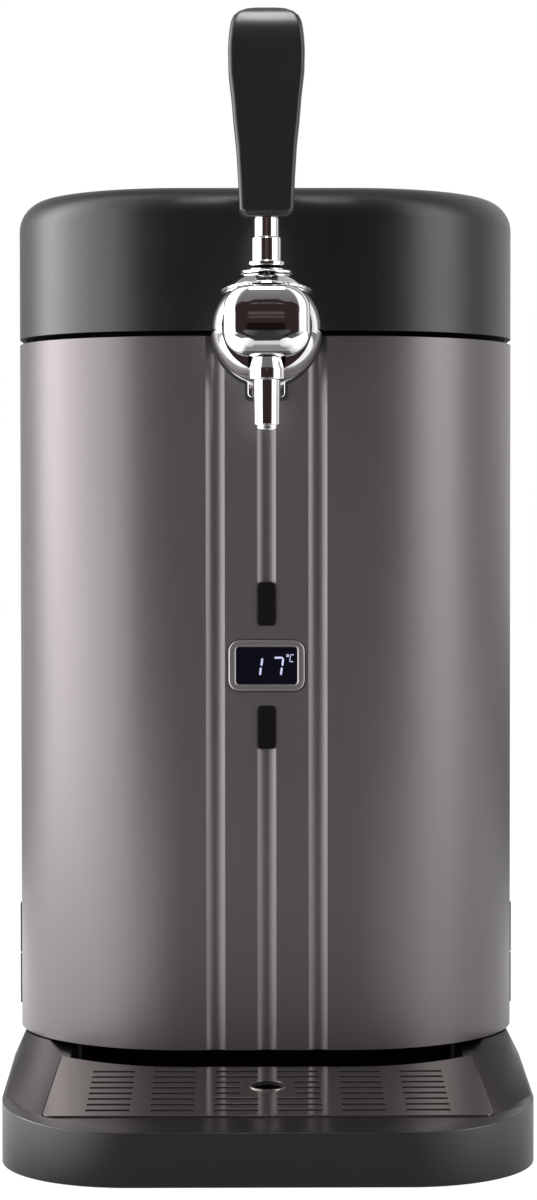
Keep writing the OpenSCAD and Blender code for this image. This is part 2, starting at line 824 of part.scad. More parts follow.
module temperature_sensor() color("#c9c3b4") placed() sensor_seat(0);

// ---- Controls and wiring ----

module control_board() color("#1d5a36") placed() translate([0, 0, display_z]) difference() {
    translate([-board_w / 2, board_y, -board_h / 2]) cube([board_w, board_t, board_h]);
    for (x = [-1, 1], z = [-1, 1])
        translate([x * (board_w / 2 - 5), 0, z * (board_h / 2 - 5)])
            bar_y(board_screw_d, board_y - cut, board_y + board_t + cut);
}

module board_screws() color("#8f9194") placed() translate([0, 0, display_z])
    for (x = [-1, 1], z = [-1, 1])
        translate([x * (board_w / 2 - 5), 0, z * (board_h / 2 - 5)]) {
            bar_y(board_screw_d, board_y - 2.4 * board_screw_d, board_y + board_t + tiny);
            bar_y(2 * board_screw_d, board_y + board_t, board_y + 2 * board_t);
        }

module display_bezel() color("#5b595d") placed() translate([0, 0, display_z]) difference() {
    union() {
        upright(-bezel_proud, bezel_rear_y) round_rect(bezel_w, bezel_h, 5);
        upright(shell_wall, bezel_rear_y) round_rect(bezel_w + 4, bezel_h + 4, 6);
    }
    upright(-bezel_proud - cut, bezel_rear_y + cut)
        round_rect(window_w + 2 * running, window_h + 2 * running, 1.5);
}

module display_window() color("#07080c") placed() translate([0, 0, display_z])
    upright(window_y, window_y + window_t) round_rect(window_w, window_h, 1.5);

module display_module() color("#2b2d33") placed() translate([0, 0, display_z]) {
    module_w = window_w - 1;
    module_h = window_h - 1;
    face_y = window_y + window_t + running;
    translate([-module_w / 2, face_y, -module_h / 2])
        cube([module_w, board_y - face_y, module_h]);
}

module push_button(z) placed() translate([0, 0, z]) {
    upright(-button_proud, button_lip_y + button_lip_t)
        round_rect(button_w, button_h, button_corner_r);
    upright(button_lip_y, button_lip_y + button_lip_t)
        round_rect(button_w + 2 * button_lip, button_h - 4, 2);
    bar_y(4, button_lip_y + button_lip_t - tiny,
        board_y - switch_t - switch_tip_l - button_travel - running);
}
module button_up() color("#0e0d0f") push_button(display_z + button_pitch);
module button_down() color("#0e0d0f") push_button(display_z - button_pitch);

module tact_switches() color("#3b3c40") placed()
    for (z = [-button_pitch, button_pitch]) translate([0, 0, display_z + z]) {
        translate([-switch_w / 2, board_y - switch_t, -switch_w / 2])
            cube([switch_w, switch_t, switch_w]);
        bar_y(switch_tip_d, board_y - switch_t - switch_tip_l, board_y - switch_t + tiny);
    }

module power_supply() color("#37393d") placed() {
    supply_z = foot_h + base_wall;
    supply_h = base_floor_z - supply_z - 3;
    translate([-supply_w / 2, supply_end_y - supply_d, supply_z]) difference() {
        cube([supply_w, supply_d, supply_h]);
        for (i = [0:7]) translate([10 + i * (supply_w - 20) / 8, 14, supply_h - 2])
            cube([4, supply_d - 28, 4]);
    }
}

module mains_inlet() color("#111113") placed() translate([inlet_x, 0, mains_z]) difference() {
    union() {
        upright(body_d, body_d + mains_flange_t) round_rect(inlet_flange_w, inlet_flange_h, 3);
        upright(body_d - inlet_depth - 3, body_d + tiny)
            square([inlet_w, inlet_h], center = true);
    }
    upright(body_d - inlet_depth, body_d + mains_flange_t + cut)
        round_rect(inlet_w - 3, inlet_h - 3, 2);
    inlet_blades();
}

// The three flat pins, the middle one higher than the others
module inlet_blades() {
    for (pin = [[-7, -1.5], [0, 2.5], [7, -1.5]])
        translate([pin.x - 1, body_d - inlet_depth - 6, pin.y - 2]) cube([2, inlet_depth, 4]);
}

module inlet_pins() color("#b08d3c") placed() translate([inlet_x, 0, mains_z]) inlet_blades();

module switch_frame() color("#111113") placed() translate([rocker_x, 0, mains_z])
    difference() {
        union() {
            upright(body_d, body_d + mains_flange_t)
                round_rect(rocker_w + 8, rocker_h + 8, 1.5);
            upright(body_d - 12, body_d + tiny)
                square([rocker_w + 4, rocker_h + 4], center = true);
        }
        upright(body_d - 10, body_d + mains_flange_t + cut)
            square([rocker_w + 2 * fit, rocker_h + 2 * fit], center = true);
        translate([-rocker_w, rocker_pivot_y, 0]) rotate([0, 90, 0])
            cylinder(h = 2 * rocker_w, r = 1 + running);
    }

// The rocker is a sector between two flats that lean away from each other
module switch_rocker() color("#1a1a1c") placed()
    translate([-rocker_w / 2 + rocker_x, rocker_pivot_y, mains_z]) rotate([rocker_tilt, 0, 0]) {
        rotate([90, 0, 90]) linear_extrude(rocker_w) intersection() {
            circle(rocker_h / 2 - 0.4);
            polygon([[-2.5, -5], [2, -rocker_h], [4.6, -rocker_h / 2], [3, 0],
                [4.6, rocker_h / 2], [2, rocker_h], [-2.5, 5]]);
        }
        translate([-1.2, 0, 0]) rotate([0, 90, 0]) cylinder(h = rocker_w + 2.4, r = 1);
    }

// Route of the loom from the power supply round the chamber to the control board.
// Round the chamber it's given by angle from the side, room off the insulation and height.
loom_r = 2.2;
loom_start = [supply_w / 2, supply_end_y - loom_r, (base_floor_z + foot_h) / 2 + 0.5];
loom_end = [board_w / 2, board_y + 1, body_lift + cooler_rise - 28];
loom_arc = [[48.8, 23.8, 64], [45.6, 24.9, 90], [37.8, 20.2, 116], [24.8, 10.7, 134],
    [11.1, 5.8, 142], [-7.8, 4.9, 144], [-25.9, 10.7, 148],
    [-39.4, 12.7, 152], [-51.9, 13, 156], [-62.6, 13.4, 160]];
function loom_route() = [
    loom_start + [tiny, 0, 0],
    loom_start + [4, 0, 0],
    loom_start + [9, loom_r - 1, 2],
    loom_start + [15.5, loom_r - 0.5, 9],
    loom_start + [21.5, loom_r - 1, 22],
    for (p = loom_arc) [(insulation_ro + p[1]) * cos(p[0]),
        chamber_y + (insulation_ro + p[1]) * sin(p[0]), p[2]],
    loom_end + [16, 0, -4],
    loom_end + [8, 0, -1],
    loom_end + [4, 0, 0],
    loom_end + [tiny, 0, 0]];
module wiring_loom() color("#26262a") placed() swept_tube(loom_route(), loom_r, 8);

// ---- Tap ----

// Disc with a short tab below it, in X and Z about the shank's line
module tabbed_disc(d, grow) {
    circle(d = d);
    translate([-tab_w / 2 - grow, -tab_l - grow + tab_r])
        square([tab_w + 2 * grow, tab_l + grow - tab_r]);
    translate([-tab_w / 2 - grow + tab_r, -tab_l - grow])
        square([tab_w + 2 * grow - 2 * tab_r, tab_r + cut]);
    for (side = [-1, 1])
        translate([side * (tab_w / 2 + grow - tab_r), -tab_l - grow + tab_r]) circle(tab_r);
}

module tap_gasket() color("#0b0b0c") placed() translate([0, 0, seam_z]) difference() {
    upright(-gasket_t, -tiny) tabbed_disc(gasket_d, (gasket_d - flange_d) / 2);
    bar_y(shank_d + 2 * fit, -gasket_t - cut, cut);
}

module tap_flange() color("#e3e5e8") placed() translate([0, 0, seam_z]) difference() {
    upright(flange_y, -gasket_t) tabbed_disc(flange_d, 0);
    bar_y(shank_d + 2 * running, flange_y - cut, 0);
}

module tap_shank() color("#c9ccd0") placed() translate([0, 0, seam_z]) difference() {
    union() {
        bar_y(shank_d, shank_front_y, shank_rear_y);
        bar_y(barb_d, shank_rear_y - tiny, shank_rear_y + barb_l);
    }
    bar_y(valve_seat_d, shank_front_y - cut, valve_seat_y + cut);
    bar_y(shank_bore_d, valve_seat_y, shank_rear_y - 4);
    bar_y(barb_d - 2.4, shank_rear_y - 5, shank_rear_y + barb_l + cut);
}

module shank_nut() color("#c08a3a") placed() translate([0, 0, seam_z]) difference() {
    bar_y(nut_d, nut_y, nut_y + nut_t);
    for (turn = [0:60:300]) rotate([0, turn, 0])
        translate([nut_flats / 2, nut_y - cut, -nut_flats]) cube([nut_flats, nut_t + 2 * cut,
            2 * nut_flats]);
    bar_y(shank_d + 2 * running, nut_y - cut, nut_y + nut_t + cut);
}

module tap_body() color("#e3e5e8") placed() {
    difference() {
        union() {
            translate([0, ball_y, ball_z]) sphere(ball_r);
            translate([0, 0, seam_z]) bar_y(neck_d, ball_y, flange_y);
        }
        for (y = [cap_rear_y - body_w, flange_y])
            translate([-body_w / 2, y, ball_z - body_w / 2]) cube(body_w);
        translate([0, 0, seam_z]) bar_y(shank_d + 2 * running, shank_front_y, cut);
        valve_cavity();
        translate([0, spout_y, ball_z - 2 * ball_r]) {
            cylinder(h = collar_top_z - ball_z + 2 * ball_r, d = collar_d + 2 * running);
            cylinder(h = collar_top_z - ball_z + 2 * ball_r + 4, d = spout_bore_d);
        }
        translate([-ball_r - cut, ball_y, ball_z]) rotate([0, 90, 0])
            cylinder(h = 2 * ball_r + 2 * cut, d = pivot_d + 2 * running);
    }
}

// Room for the lever, the plunger's yoke and the beer
module valve_cavity() {
    half_x = arm_eye_w / 2 + 1;
    translate([-half_x, ball_y - 12, ball_z - arm_reach - 5])
        cube([2 * half_x, 23.5, arm_reach + 11]);
    translate([-arm_d / 2 - 1, ball_y - 13, ball_z]) cube([arm_d + 2, 17, ball_r + cut]);
    translate([0, 0, seam_z]) bar_y(valve_seat_d + 4, ball_y, shank_front_y + cut);
}

module tap_front_cap() color("#e3e5e8") placed() {
    round_r = 29.5;
    intersection() {
        translate([0, 0, cap_top_z - cap_h / 2]) upright(cap_y, cap_rear_y)
            round_rect(cap_w, cap_h, cap_corner_r);
        translate([0, cap_y + round_r - 0.6, cap_top_z - cap_h / 2]) sphere(round_r);
    }
}

// Part of a ball's skin above a cone of the given half angle
module ball_skin(ri, t, angle) {
    intersection() {
        difference() {
            sphere(ri + t);
            sphere(ri);
        }
        reach = ri + t + cut;
        cylinder(h = reach, r1 = 0, r2 = reach * tan(angle));
    }
}

module tap_bonnet() color("#e3e5e8") placed() difference() {
    translate([0, ball_y, ball_z]) rotate([-bonnet_lean, 0, 0])
        ball_skin(bonnet_ri, bonnet_t, bonnet_angle);
    translate([-arm_d / 2 - 0.8, ball_y - 13, ball_z]) cube([arm_d + 1.6, 17, 2 * ball_r]);
    translate([0, 0, seam_z]) bar_y(neck_d + 2 * running, ball_y, 0);
}

module slot_cover() color("#e3e5e8") placed() difference() {
    translate([0, ball_y, ball_z]) ball_skin(cover_ri, cover_t, cover_angle);
    translate([0, ball_y, ball_z]) cylinder(h = 2 * ball_r, d = arm_d + 2 * running);
}

module pivot_pin() color("#c9ccd0") placed()
    translate([-ball_r + 1.5, ball_y, ball_z]) rotate([0, 90, 0])
        cylinder(h = 2 * ball_r - 3, d = pivot_d);

module lever_arm() color("#b5b8bc") placed() translate([0, ball_y, ball_z]) difference() {
    union() {
        translate([0, 0, arm_eye_r - 1]) cylinder(h = grip_z - ball_z + grip_rod_l - 3, d = arm_d);
        translate([0, 0, -arm_reach]) cylinder(h = arm_reach, d = 3.4);
        translate([0, 0, -arm_reach]) sphere(arm_tip_r);
        translate([-arm_eye_w / 2, 0, 0]) rotate([0, 90, 0])
            cylinder(h = arm_eye_w, r = arm_eye_r);
    }
    translate([-ball_r, 0, 0]) rotate([0, 90, 0])
        cylinder(h = 2 * ball_r, d = pivot_d + 2 * running);
}

module lever_stem() color("#e3e5e8") placed() translate([0, ball_y, 0]) difference() {
    union() {
        translate([0, 0, stem_z - 0.4]) cylinder(h = 2, d = stem_foot_d + 3.2);
        translate([0, 0, stem_z]) cylinder(h = stem_foot_l, d = stem_foot_d);
        translate([0, 0, stem_z]) cylinder(h = stem_l, d = stem_d);
    }
    translate([0, 0, ball_z]) sphere(cover_ri + cover_t);
    translate([0, 0, stem_z - cut]) cylinder(h = stem_l + 2 * cut, d = arm_d + 2 * running);
}

// Section of the grip at one height: a block with four bevelled corners
module grip_section(w, t) {
    bevel = 0.18 * t;
    polygon([[bevel - w / 2, -t / 2], [w / 2 - bevel, -t / 2], [w / 2, bevel - t / 2],
        [w / 2, t / 2 - bevel], [w / 2 - bevel, t / 2], [bevel - w / 2, t / 2],
        [-w / 2, t / 2 - bevel], [-w / 2, bevel - t / 2]]);
}
module grip_slice(z, w, t, lean = 0) {
    translate([0, lean, z]) linear_extrude(0.1) grip_section(w, t);
}

module handle_grip() color("#232024") placed() translate([0, ball_y, grip_z]) difference() {
    union() {
        hull() {
            grip_slice(0, grip_foot_w - 4, grip_foot_t - 4);
            grip_slice(3, grip_foot_w, grip_foot_t);
            grip_slice(0.28 * grip_l, grip_foot_w + 2, grip_foot_t + 1);
        }
        hull() {
            grip_slice(0.28 * grip_l, grip_foot_w + 2, grip_foot_t + 1);
            grip_slice(0.46 * grip_l, grip_w - 4.3, grip_t - 2.6);
        }
        hull() {
            grip_slice(0.46 * grip_l, grip_w - 4.3, grip_t - 2.6);
            grip_slice(0.79 * grip_l, grip_w, grip_t);
            grip_slice(0.88 * grip_l, grip_w - 1.2, grip_t - 1, 0.5);
            grip_slice(0.945 * grip_l, grip_w - 4.6, grip_t - 5, 2);
            grip_slice(grip_l - 0.1, grip_w - 15, grip_t - 12, 4);
        }
    }
    translate([0, 0, -cut]) cylinder(h = grip_rod_l + cut, d = arm_d + 2 * running);
    translate([0, 0, -cut]) cylinder(h = stem_l - (grip_z - stem_z) + cut + tiny,
        d = stem_d + 2 * running);
}

module spout_collar() color("#e3e5e8") placed() translate([0, spout_y, 0]) difference() {
    straight = collar_h / 2;
    union() {
        translate([0, 0, collar_z]) cylinder(h = straight, d = collar_d);
        translate([0, 0, collar_z + straight])
            cylinder(h = collar_h - straight - tiny, d1 = collar_d, d2 = collar_d - 3);
    }
    translate([0, 0, collar_z - cut]) cylinder(h = ball_r, d = spout_bore_d);
}

module spout_tube() color("#e3e5e8") placed() translate([0, spout_y, 0]) difference() {
    union() {
        translate([0, 0, spout_z]) cylinder(h = spout_l, d1 = spout_d - 0.5, d2 = spout_d);
        translate([0, 0, spout_z - 1.8]) cylinder(h = 4, d = spout_bore_d + 1.6);
    }
    translate([0, 0, spout_z - 3]) cylinder(h = spout_l + 4, d = spout_bore_d);
}

// Rod on the shank's line, with a yoke in front that hangs round the lever's tip
module valve_plunger() color("#c9ccd0") placed() {
    slot = arm_tip_r + fit;
    lip = 1.6;
    post_y = ball_y + arm_eye_r + 0.6;
    post_t = 2.6;
    yoke_z = ball_z - arm_reach - arm_tip_r - 1;
    translate([0, 0, seam_z])
        bar_y(plunger_d, post_y + tiny, valve_seat_y + 4 + seal_t);
    difference() {
        translate([-4, ball_y - slot - lip, yoke_z])
            cube([8, post_y + post_t - ball_y + slot + lip, 2 * arm_tip_r + 0.5]);
        translate([-slot, ball_y - slot, yoke_z - cut]) cube([2 * slot, 2 * slot, 20]);
    }
    translate([-2, post_y, yoke_z]) cube([4, post_t, seam_z - yoke_z + plunger_d / 2]);
}

module valve_seal() color("#0b0b0c") placed() translate([0, 0, seam_z]) difference() {
    bar_y(seal_d, valve_seat_y + fit, valve_seat_y + fit + seal_t);
    bar_y(plunger_d, valve_seat_y, valve_seat_y + 5 + seal_t);
}

// ---- Beer line ----

module beer_hose() color("#d8dadd") placed() {
    grip_y = shank_rear_y + 1;
    bend_y = hose_y;
    difference() {
        union() {
            translate([0, 0, seam_z]) bar_y(hose_d, grip_y, bend_y);
            translate([0, bend_y, seam_z - hose_bend_r]) rotate([0, -90, 0])
                rotate_extrude(angle = 90) translate([hose_bend_r, 0]) circle(d = hose_d);
            translate([0, bend_y + hose_bend_r, seam_z - hose_bend_r - hose_drop])
                cylinder(h = hose_drop, d = hose_d);
        }
        translate([0, 0, seam_z]) bar_y(barb_d, grip_y - cut, bend_y);
        translate([0, bend_y, seam_z - hose_bend_r]) rotate([0, -90, 0])
            rotate_extrude(angle = 90) translate([hose_bend_r, 0]) circle(d = barb_d);
        translate([0, bend_y + hose_bend_r, seam_z - hose_bend_r - hose_drop - cut])
            cylinder(h = hose_drop + cut, d = barb_d);
    }
}

module keg_coupler() color("#2c2d31") placed()
    translate([0, hose_y + hose_bend_r, seam_z - hose_bend_r - hose_drop])
        difference() {
            union() {
                translate([0, 0, -coupler_l]) cylinder(h = coupler_l, d = coupler_d);
                translate([0, 0, -coupler_l / 2]) cylinder(h = 4, d = coupler_d + 6);
                cylinder(h = hose_drop - 2, d = barb_d);
            }
            translate([0, 0, -coupler_l - cut]) cylinder(h = coupler_l / 2, d = 12);
            translate([0, 0, -coupler_l]) cylinder(h = coupler_l + hose_drop + cut, d = 3);
        }

// ---- Lid ----

lid_plate_inset = lid_wall + fit;
lid_recess_w = nut_d + 10;
lid_recess_d = hose_y + 0.7 * hose_bend_r;

module lid_shell() color("#252326") placed() difference() {
    soft_slab(0, lid_z, lid_top_z, lid_edge_r);
    soft_slab(lid_wall, lid_z - cut, lid_top_z - lid_wall, lid_edge_r - lid_wall);
    translate([0, 0, seam_z]) bar_y(shank_d + 4 * fit, -cut, lid_wall + cut);
    hinge_screw_places(1) bar_y(hinge_screw_d, body_d - lid_wall - cut, body_d + cut);
}

module lid_liner() color("#1f1e20") placed() difference() {
    slab(lid_z + fit, lid_z + fit + liner_t) body_plan(lid_plate_inset);
    translate([-lid_recess_w / 2, 0, lid_z]) cube([lid_recess_w, lid_recess_d, 3 * liner_t]);
}

module lid_insulation() color("#d9d6cf") placed() difference() {
    foam_inset = lid_edge_r + lid_wall;
    slab(lid_z + fit + liner_t, lid_z + fit + liner_t + lid_foam_t) body_plan(foam_inset);
    translate([-lid_recess_w / 2, 0, lid_z]) cube([lid_recess_w, lid_recess_d, 2 * lid_foam_t]);
}

module lid_gasket() color("#3a3a3d") placed() {
    ring_r = chamber_d / 2 + 4;
    translate([0, chamber_y, deck_top_z + 0.2]) difference() {
        cylinder(h = lid_z + fit - deck_top_z - 0.2, r = ring_r + lid_seal_w);
        translate([0, 0, -cut]) cylinder(h = 20, r = ring_r);
        translate([-lid_recess_w / 2, -chamber_y, -cut])
            cube([lid_recess_w, lid_recess_d, 20]);
    }
}

// Knuckle with its eye for the pin, from x0 to x1 on the hinge line
module knuckle(x0, x1) {
    translate([x0, hinge_y, seam_z]) rotate([0, 90, 0]) cylinder(h = x1 - x0, r = knuckle_r);
}
middle_half = hinge_len / 6;

module pin_hole() {
    translate([-body_w / 2, hinge_y, seam_z]) rotate([0, 90, 0])
        cylinder(h = body_w, d = hinge_pin_d + 2 * running);
}

// Two screws a leaf, above the hinge line with up = 1 and below it with up = -1
module hinge_screw_places(up) {
    for (x = [-hinge_x, hinge_x], offset_x = [-hinge_len / 3, hinge_len / 3])
        translate([x + offset_x, 0, seam_z + up * hinge_screw_rise]) children();
}

module lid_hinge_leaves() color("#3c3c40") placed() difference() {
    for (x = [-hinge_x, hinge_x]) {
        knuckle(x - middle_half + fit, x + middle_half - fit);
        translate([x - middle_half + fit, body_d, seam_z])
            cube([2 * middle_half - 2 * fit, leaf_t, knuckle_r + 2]);
        translate([x - hinge_len / 2, body_d, seam_z + knuckle_r + 1])
            cube([hinge_len, leaf_t, leaf_h - knuckle_r]);
    }
    pin_hole();
    hinge_screw_places(1) bar_y(hinge_screw_d, body_d - cut, hinge_y);
}

module body_hinge_leaves() color("#3c3c40") placed() difference() {
    for (x = [-hinge_x, hinge_x]) {
        for (side = [-1, 1]) translate([x, 0, 0]) mirror([side < 0 ? 1 : 0, 0, 0]) {
            knuckle(middle_half + fit, hinge_len / 2);
            translate([middle_half + fit, body_d, seam_z - knuckle_r - 2])
                cube([hinge_len / 2 - middle_half - fit, leaf_t, knuckle_r + 2]);
        }
        translate([x - hinge_len / 2, body_d, seam_z - leaf_h])
            cube([hinge_len, leaf_t, leaf_h - knuckle_r - 1]);
    }
    pin_hole();
    hinge_screw_places(-1) bar_y(hinge_screw_d, body_d - cut, hinge_y);
}

module hinge_pins() color("#8f9194") placed()
    for (x = [-hinge_x, hinge_x]) translate([x - hinge_len / 2, hinge_y, seam_z])
        rotate([0, 90, 0]) cylinder(h = hinge_len, d = hinge_pin_d);

module hinge_screw() {
    bar_y(hinge_screw_d, body_d - shell_wall + 1, body_d + leaf_t + tiny);
    bar_y(5.6, body_d + leaf_t, body_d + leaf_t + 1.2);
}
module lid_hinge_screws() color("#8f9194") placed() hinge_screw_places(1) hinge_screw();
module body_hinge_screws() color("#8f9194") placed() hinge_screw_places(-1) hinge_screw();

// ---- Drip tray ----

// Tilts a flat shape into the plane of the tray's sloping rim, at a depth below it
module tilted(z) {
    translate([0, tray_y, tray_front_z]) rotate([tray_slope, 0, 0])
        translate([0, -tray_y, z]) children();
}

// Outline that narrows towards the rear, where it runs on under the body
module plate_field(grow = 0) {
    front_half = plate_w / 2 + grow;
    rear_half = front_half - plate_taper;
    rear_y = plate_y + plate_l + grow;
    intersection() {
        translate([0, plate_y + plate_l / 2])
            round_rect(plate_w + 2 * grow, plate_l + 2 * grow, plate_corner_r + grow);
        polygon([[-front_half, plate_y - grow], [front_half, plate_y - grow],
            [rear_half, rear_y], [-rear_half, rear_y]]);
    }
}

// Outline of the drip plate, whose rear edge follows the body's front
module plate_plan(grow = 0) difference() {
    plate_field(grow);
    body_plan(grow - plate_gap);
}

module drip_tray() color("#1c1a1d") placed() difference() {
    seat_z = plate_front_z - plate_t;
    slab(tray_skirt_z, tray_rim_z) tray_plan();
    tilted(0) translate([-tray_w, tray_y - tray_w, 0])
        cube([2 * tray_w, tray_w + tray_slope_d / cos(tray_slope), tray_w]);
    hull() {
        tilted(-plate_drop - 0.6) linear_extrude(0.1) plate_field(fit + plate_lip);
        tilted(fit) linear_extrude(cut) tray_plan(rim_edge);
    }
    tilted(-plate_drop - plate_t) linear_extrude(plate_t + cut) plate_plan(fit);
    translate([0, basin_y + basin_d / 2, tray_floor_z + tray_wall])
        linear_extrude(body_lift) round_rect(basin_w, basin_d, plate_corner_r);
    slab(0, tray_floor_z) translate([0, tray_y]) tray_under();
    slab(0, seat_z - tray_wall) difference() {
        tray_plan(tray_wall);
        translate([0, basin_y + basin_d / 2])
            square([basin_w + 2 * tray_wall, basin_d + 2 * tray_wall], center = true);
    }
}

// Clear space under the basin for the shelf, open towards the rear
module tray_under() {
    translate([-basin_w / 2 - tray_wall, plate_setback])
        square([basin_w + 2 * tray_wall, tray_rear_y - tray_y]);
}

module drip_plate() color("#3a383b") placed() tilted(-plate_drop - plate_t) {
    hole_lip = 1.3;
    difference() {
        union() {
            linear_extrude(plate_t) plate_plan();
            translate([0, finger_y, 0]) cylinder(h = plate_t + 0.5, d = finger_d + 2 * hole_lip);
        }
        translate([0, finger_y, -cut]) cylinder(h = body_lift, d = finger_d);
        for (column = [0:slot_columns - 1], row = [0:slot_rows - 1]) {
            x = (column - (slot_columns - 1) / 2) * slot_pitch_x;
            y = slots_y + row * slot_pitch_y;
            near = abs(x) < slot_pitch_x && abs(y - finger_y) < finger_d;
            shorter = near ? slot_w * 0.6 : slot_w;
            shift = near ? sign(x) * (slot_w - shorter) / 2 : 0;
            translate([x + shift - shorter / 2, y - slot_d / 2, -cut])
                cube([shorter, slot_d, body_lift]);
        }
    }
}

base_pan();
feet();
front_shell();
rear_cover();
side_vents();
top_deck();
insulation_jacket();
cooling_chamber();
bay_cover();
cover_screws();
cold_block();
peltier_module();
heat_sink();
fan_frame();
fan_rotor();
fan_screws();
temperature_sensor();
control_board();
board_screws();
display_bezel();
display_window();
display_module();
button_up();
button_down();
tact_switches();
power_supply();
mains_inlet();
inlet_pins();
switch_frame();
switch_rocker();
wiring_loom();
tap_gasket();
tap_flange();
tap_shank();
shank_nut();
tap_body();
tap_front_cap();
tap_bonnet();
slot_cover();
spout_collar();
spout_tube();
pivot_pin();
valve_plunger();
valve_seal();
lever_arm();
lever_stem();
handle_grip();
beer_hose();
keg_coupler();
lid_shell();
lid_liner();
lid_insulation();
lid_gasket();
lid_hinge_leaves();
body_hinge_leaves();
hinge_pins();
lid_hinge_screws();
body_hinge_screws();
drip_tray();
drip_plate();
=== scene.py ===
# %% [markdown]
# A countertop dispenser that cools a small keg of beer and pours it through a chrome tap.
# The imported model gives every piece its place, so the scene starts by loading it as a fixed
# frame. All lengths here are metres. The front faces -Y, Z is up and X runs to the right.

# %% Load the frame
import json
import math
import bpy
from mathutils import Matrix, Vector


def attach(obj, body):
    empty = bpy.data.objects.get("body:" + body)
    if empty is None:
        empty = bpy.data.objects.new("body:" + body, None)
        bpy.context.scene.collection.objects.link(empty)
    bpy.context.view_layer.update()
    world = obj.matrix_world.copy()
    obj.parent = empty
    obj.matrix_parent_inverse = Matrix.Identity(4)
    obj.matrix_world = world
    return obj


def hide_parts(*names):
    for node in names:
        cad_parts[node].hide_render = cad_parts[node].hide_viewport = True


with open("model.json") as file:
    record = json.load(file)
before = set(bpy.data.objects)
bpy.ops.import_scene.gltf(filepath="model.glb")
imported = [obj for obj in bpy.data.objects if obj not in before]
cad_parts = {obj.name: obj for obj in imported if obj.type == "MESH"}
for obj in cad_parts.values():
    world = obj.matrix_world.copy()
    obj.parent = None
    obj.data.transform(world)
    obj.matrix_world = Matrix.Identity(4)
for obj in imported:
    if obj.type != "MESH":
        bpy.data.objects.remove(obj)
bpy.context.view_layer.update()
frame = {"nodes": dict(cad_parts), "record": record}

nodes = frame["nodes"]

# %% [markdown]
# A product photographer stands well back and uses a long lens, which keeps upright edges
# nearly parallel. The same view is made here: an 87 mm lens 1.3 metres in front of the body,
# at the height of the body's upper half, tipped down by less than two degrees. The camera
# stands a few millimetres left of the middle, and the tiny roll is the photographer's own.

# %% Camera
mm = 0.001
front_y = -84 * mm
lens_length = 87.20
sensor_width = 36
camera_x = -7.4 * mm
camera_y = front_y - 1291.2 * mm
camera_z = 271.3 * mm
pitch_down = math.radians(1.612)
yaw = math.radians(-0.367)
roll = math.radians(-0.061)

bpy.ops.object.camera_add(location=(camera_x, camera_y, camera_z))
camera = bpy.context.object
camera.name = "photo_camera"
camera.data.lens = lens_length
camera.data.sensor_width = sensor_width
camera.data.clip_start = 0.05
aim = (Matrix.Rotation(yaw, 4, "Z") @ Matrix.Rotation(math.pi / 2 - pitch_down, 4, "X")
       @ Matrix.Rotation(roll, 4, "Z"))
camera.rotation_euler = aim.to_euler()
bpy.context.scene.camera = camera
print("camera at", [round(value, 3) for value in camera.location])

# %% [markdown]
# Shader maths reads best as plain arithmetic. A small class wraps one socket, so that
# `(1 - mask) * 0.2 + 0.4` adds the Math nodes by itself. A second class holds a node tree, and its
# method node() adds any other kind of node. The room uses it directly, and a finish is such a
# tree that belongs to one material.

# %% A socket that does arithmetic, and a tree that takes nodes
class Wire:
    """One output socket of a tree, on which Python's operators add Math nodes."""

    def __init__(self, graph, socket):
        self.graph = graph
        self.socket = socket

    def maths(self, operation, first, second):
        return self.graph.node("ShaderNodeMath", {"operation": operation}, {0: first, 1: second})

    def __add__(self, other):
        return self.maths("ADD", self, other)

    def __radd__(self, other):
        return self.maths("ADD", other, self)

    def __rsub__(self, other):
        return self.maths("SUBTRACT", other, self)

    def __mul__(self, other):
        return self.maths("MULTIPLY", self, other)


class Graph:
    """A node tree, whose sockets are set or linked while its nodes are added."""

    def __init__(self, tree):
        self.tree = tree

    def node(self, kind, settings, sockets, output=0):
        """Adds a node, makes its settings and sets or links its sockets."""
        node = self.tree.nodes.new(kind)
        for key, value in settings.items():
            setattr(node, key, value)
        for key, value in sockets.items():
            if isinstance(value, Wire):
                self.tree.links.new(value.socket, node.inputs[key])
            else:
                node.inputs[key].default_value = value
        return Wire(self, node.outputs[output])

    def fade(self, place, start, end):
        """A level that changes evenly between two places, each given as (place, level)."""
        return self.node("ShaderNodeMapRange", {}, {
            "Value": place, "From Min": start[0], "From Max": end[0],
            "To Min": start[1], "To Max": end[1]})

    def to_camera_and_rest(self, camera_shader, other_shader):
        """One shader for what the camera sees directly, and another for all other rays."""
        seen = self.node("ShaderNodeLightPath", {}, {}, "Is Camera Ray")
        return self.node("ShaderNodeMixShader", {}, {0: seen, 1: other_shader, 2: camera_shader})


print("wires and graphs ready")

# %% [markdown]
# A finish starts as Blender's Principled shader with plain values. Its methods then add the
# variations that a real surface has: noise of a given grain size for the colour, the gloss
# and the height. They use Object coordinates, which are metres from the frame's origin, so
# that a grain keeps its real size on every piece.

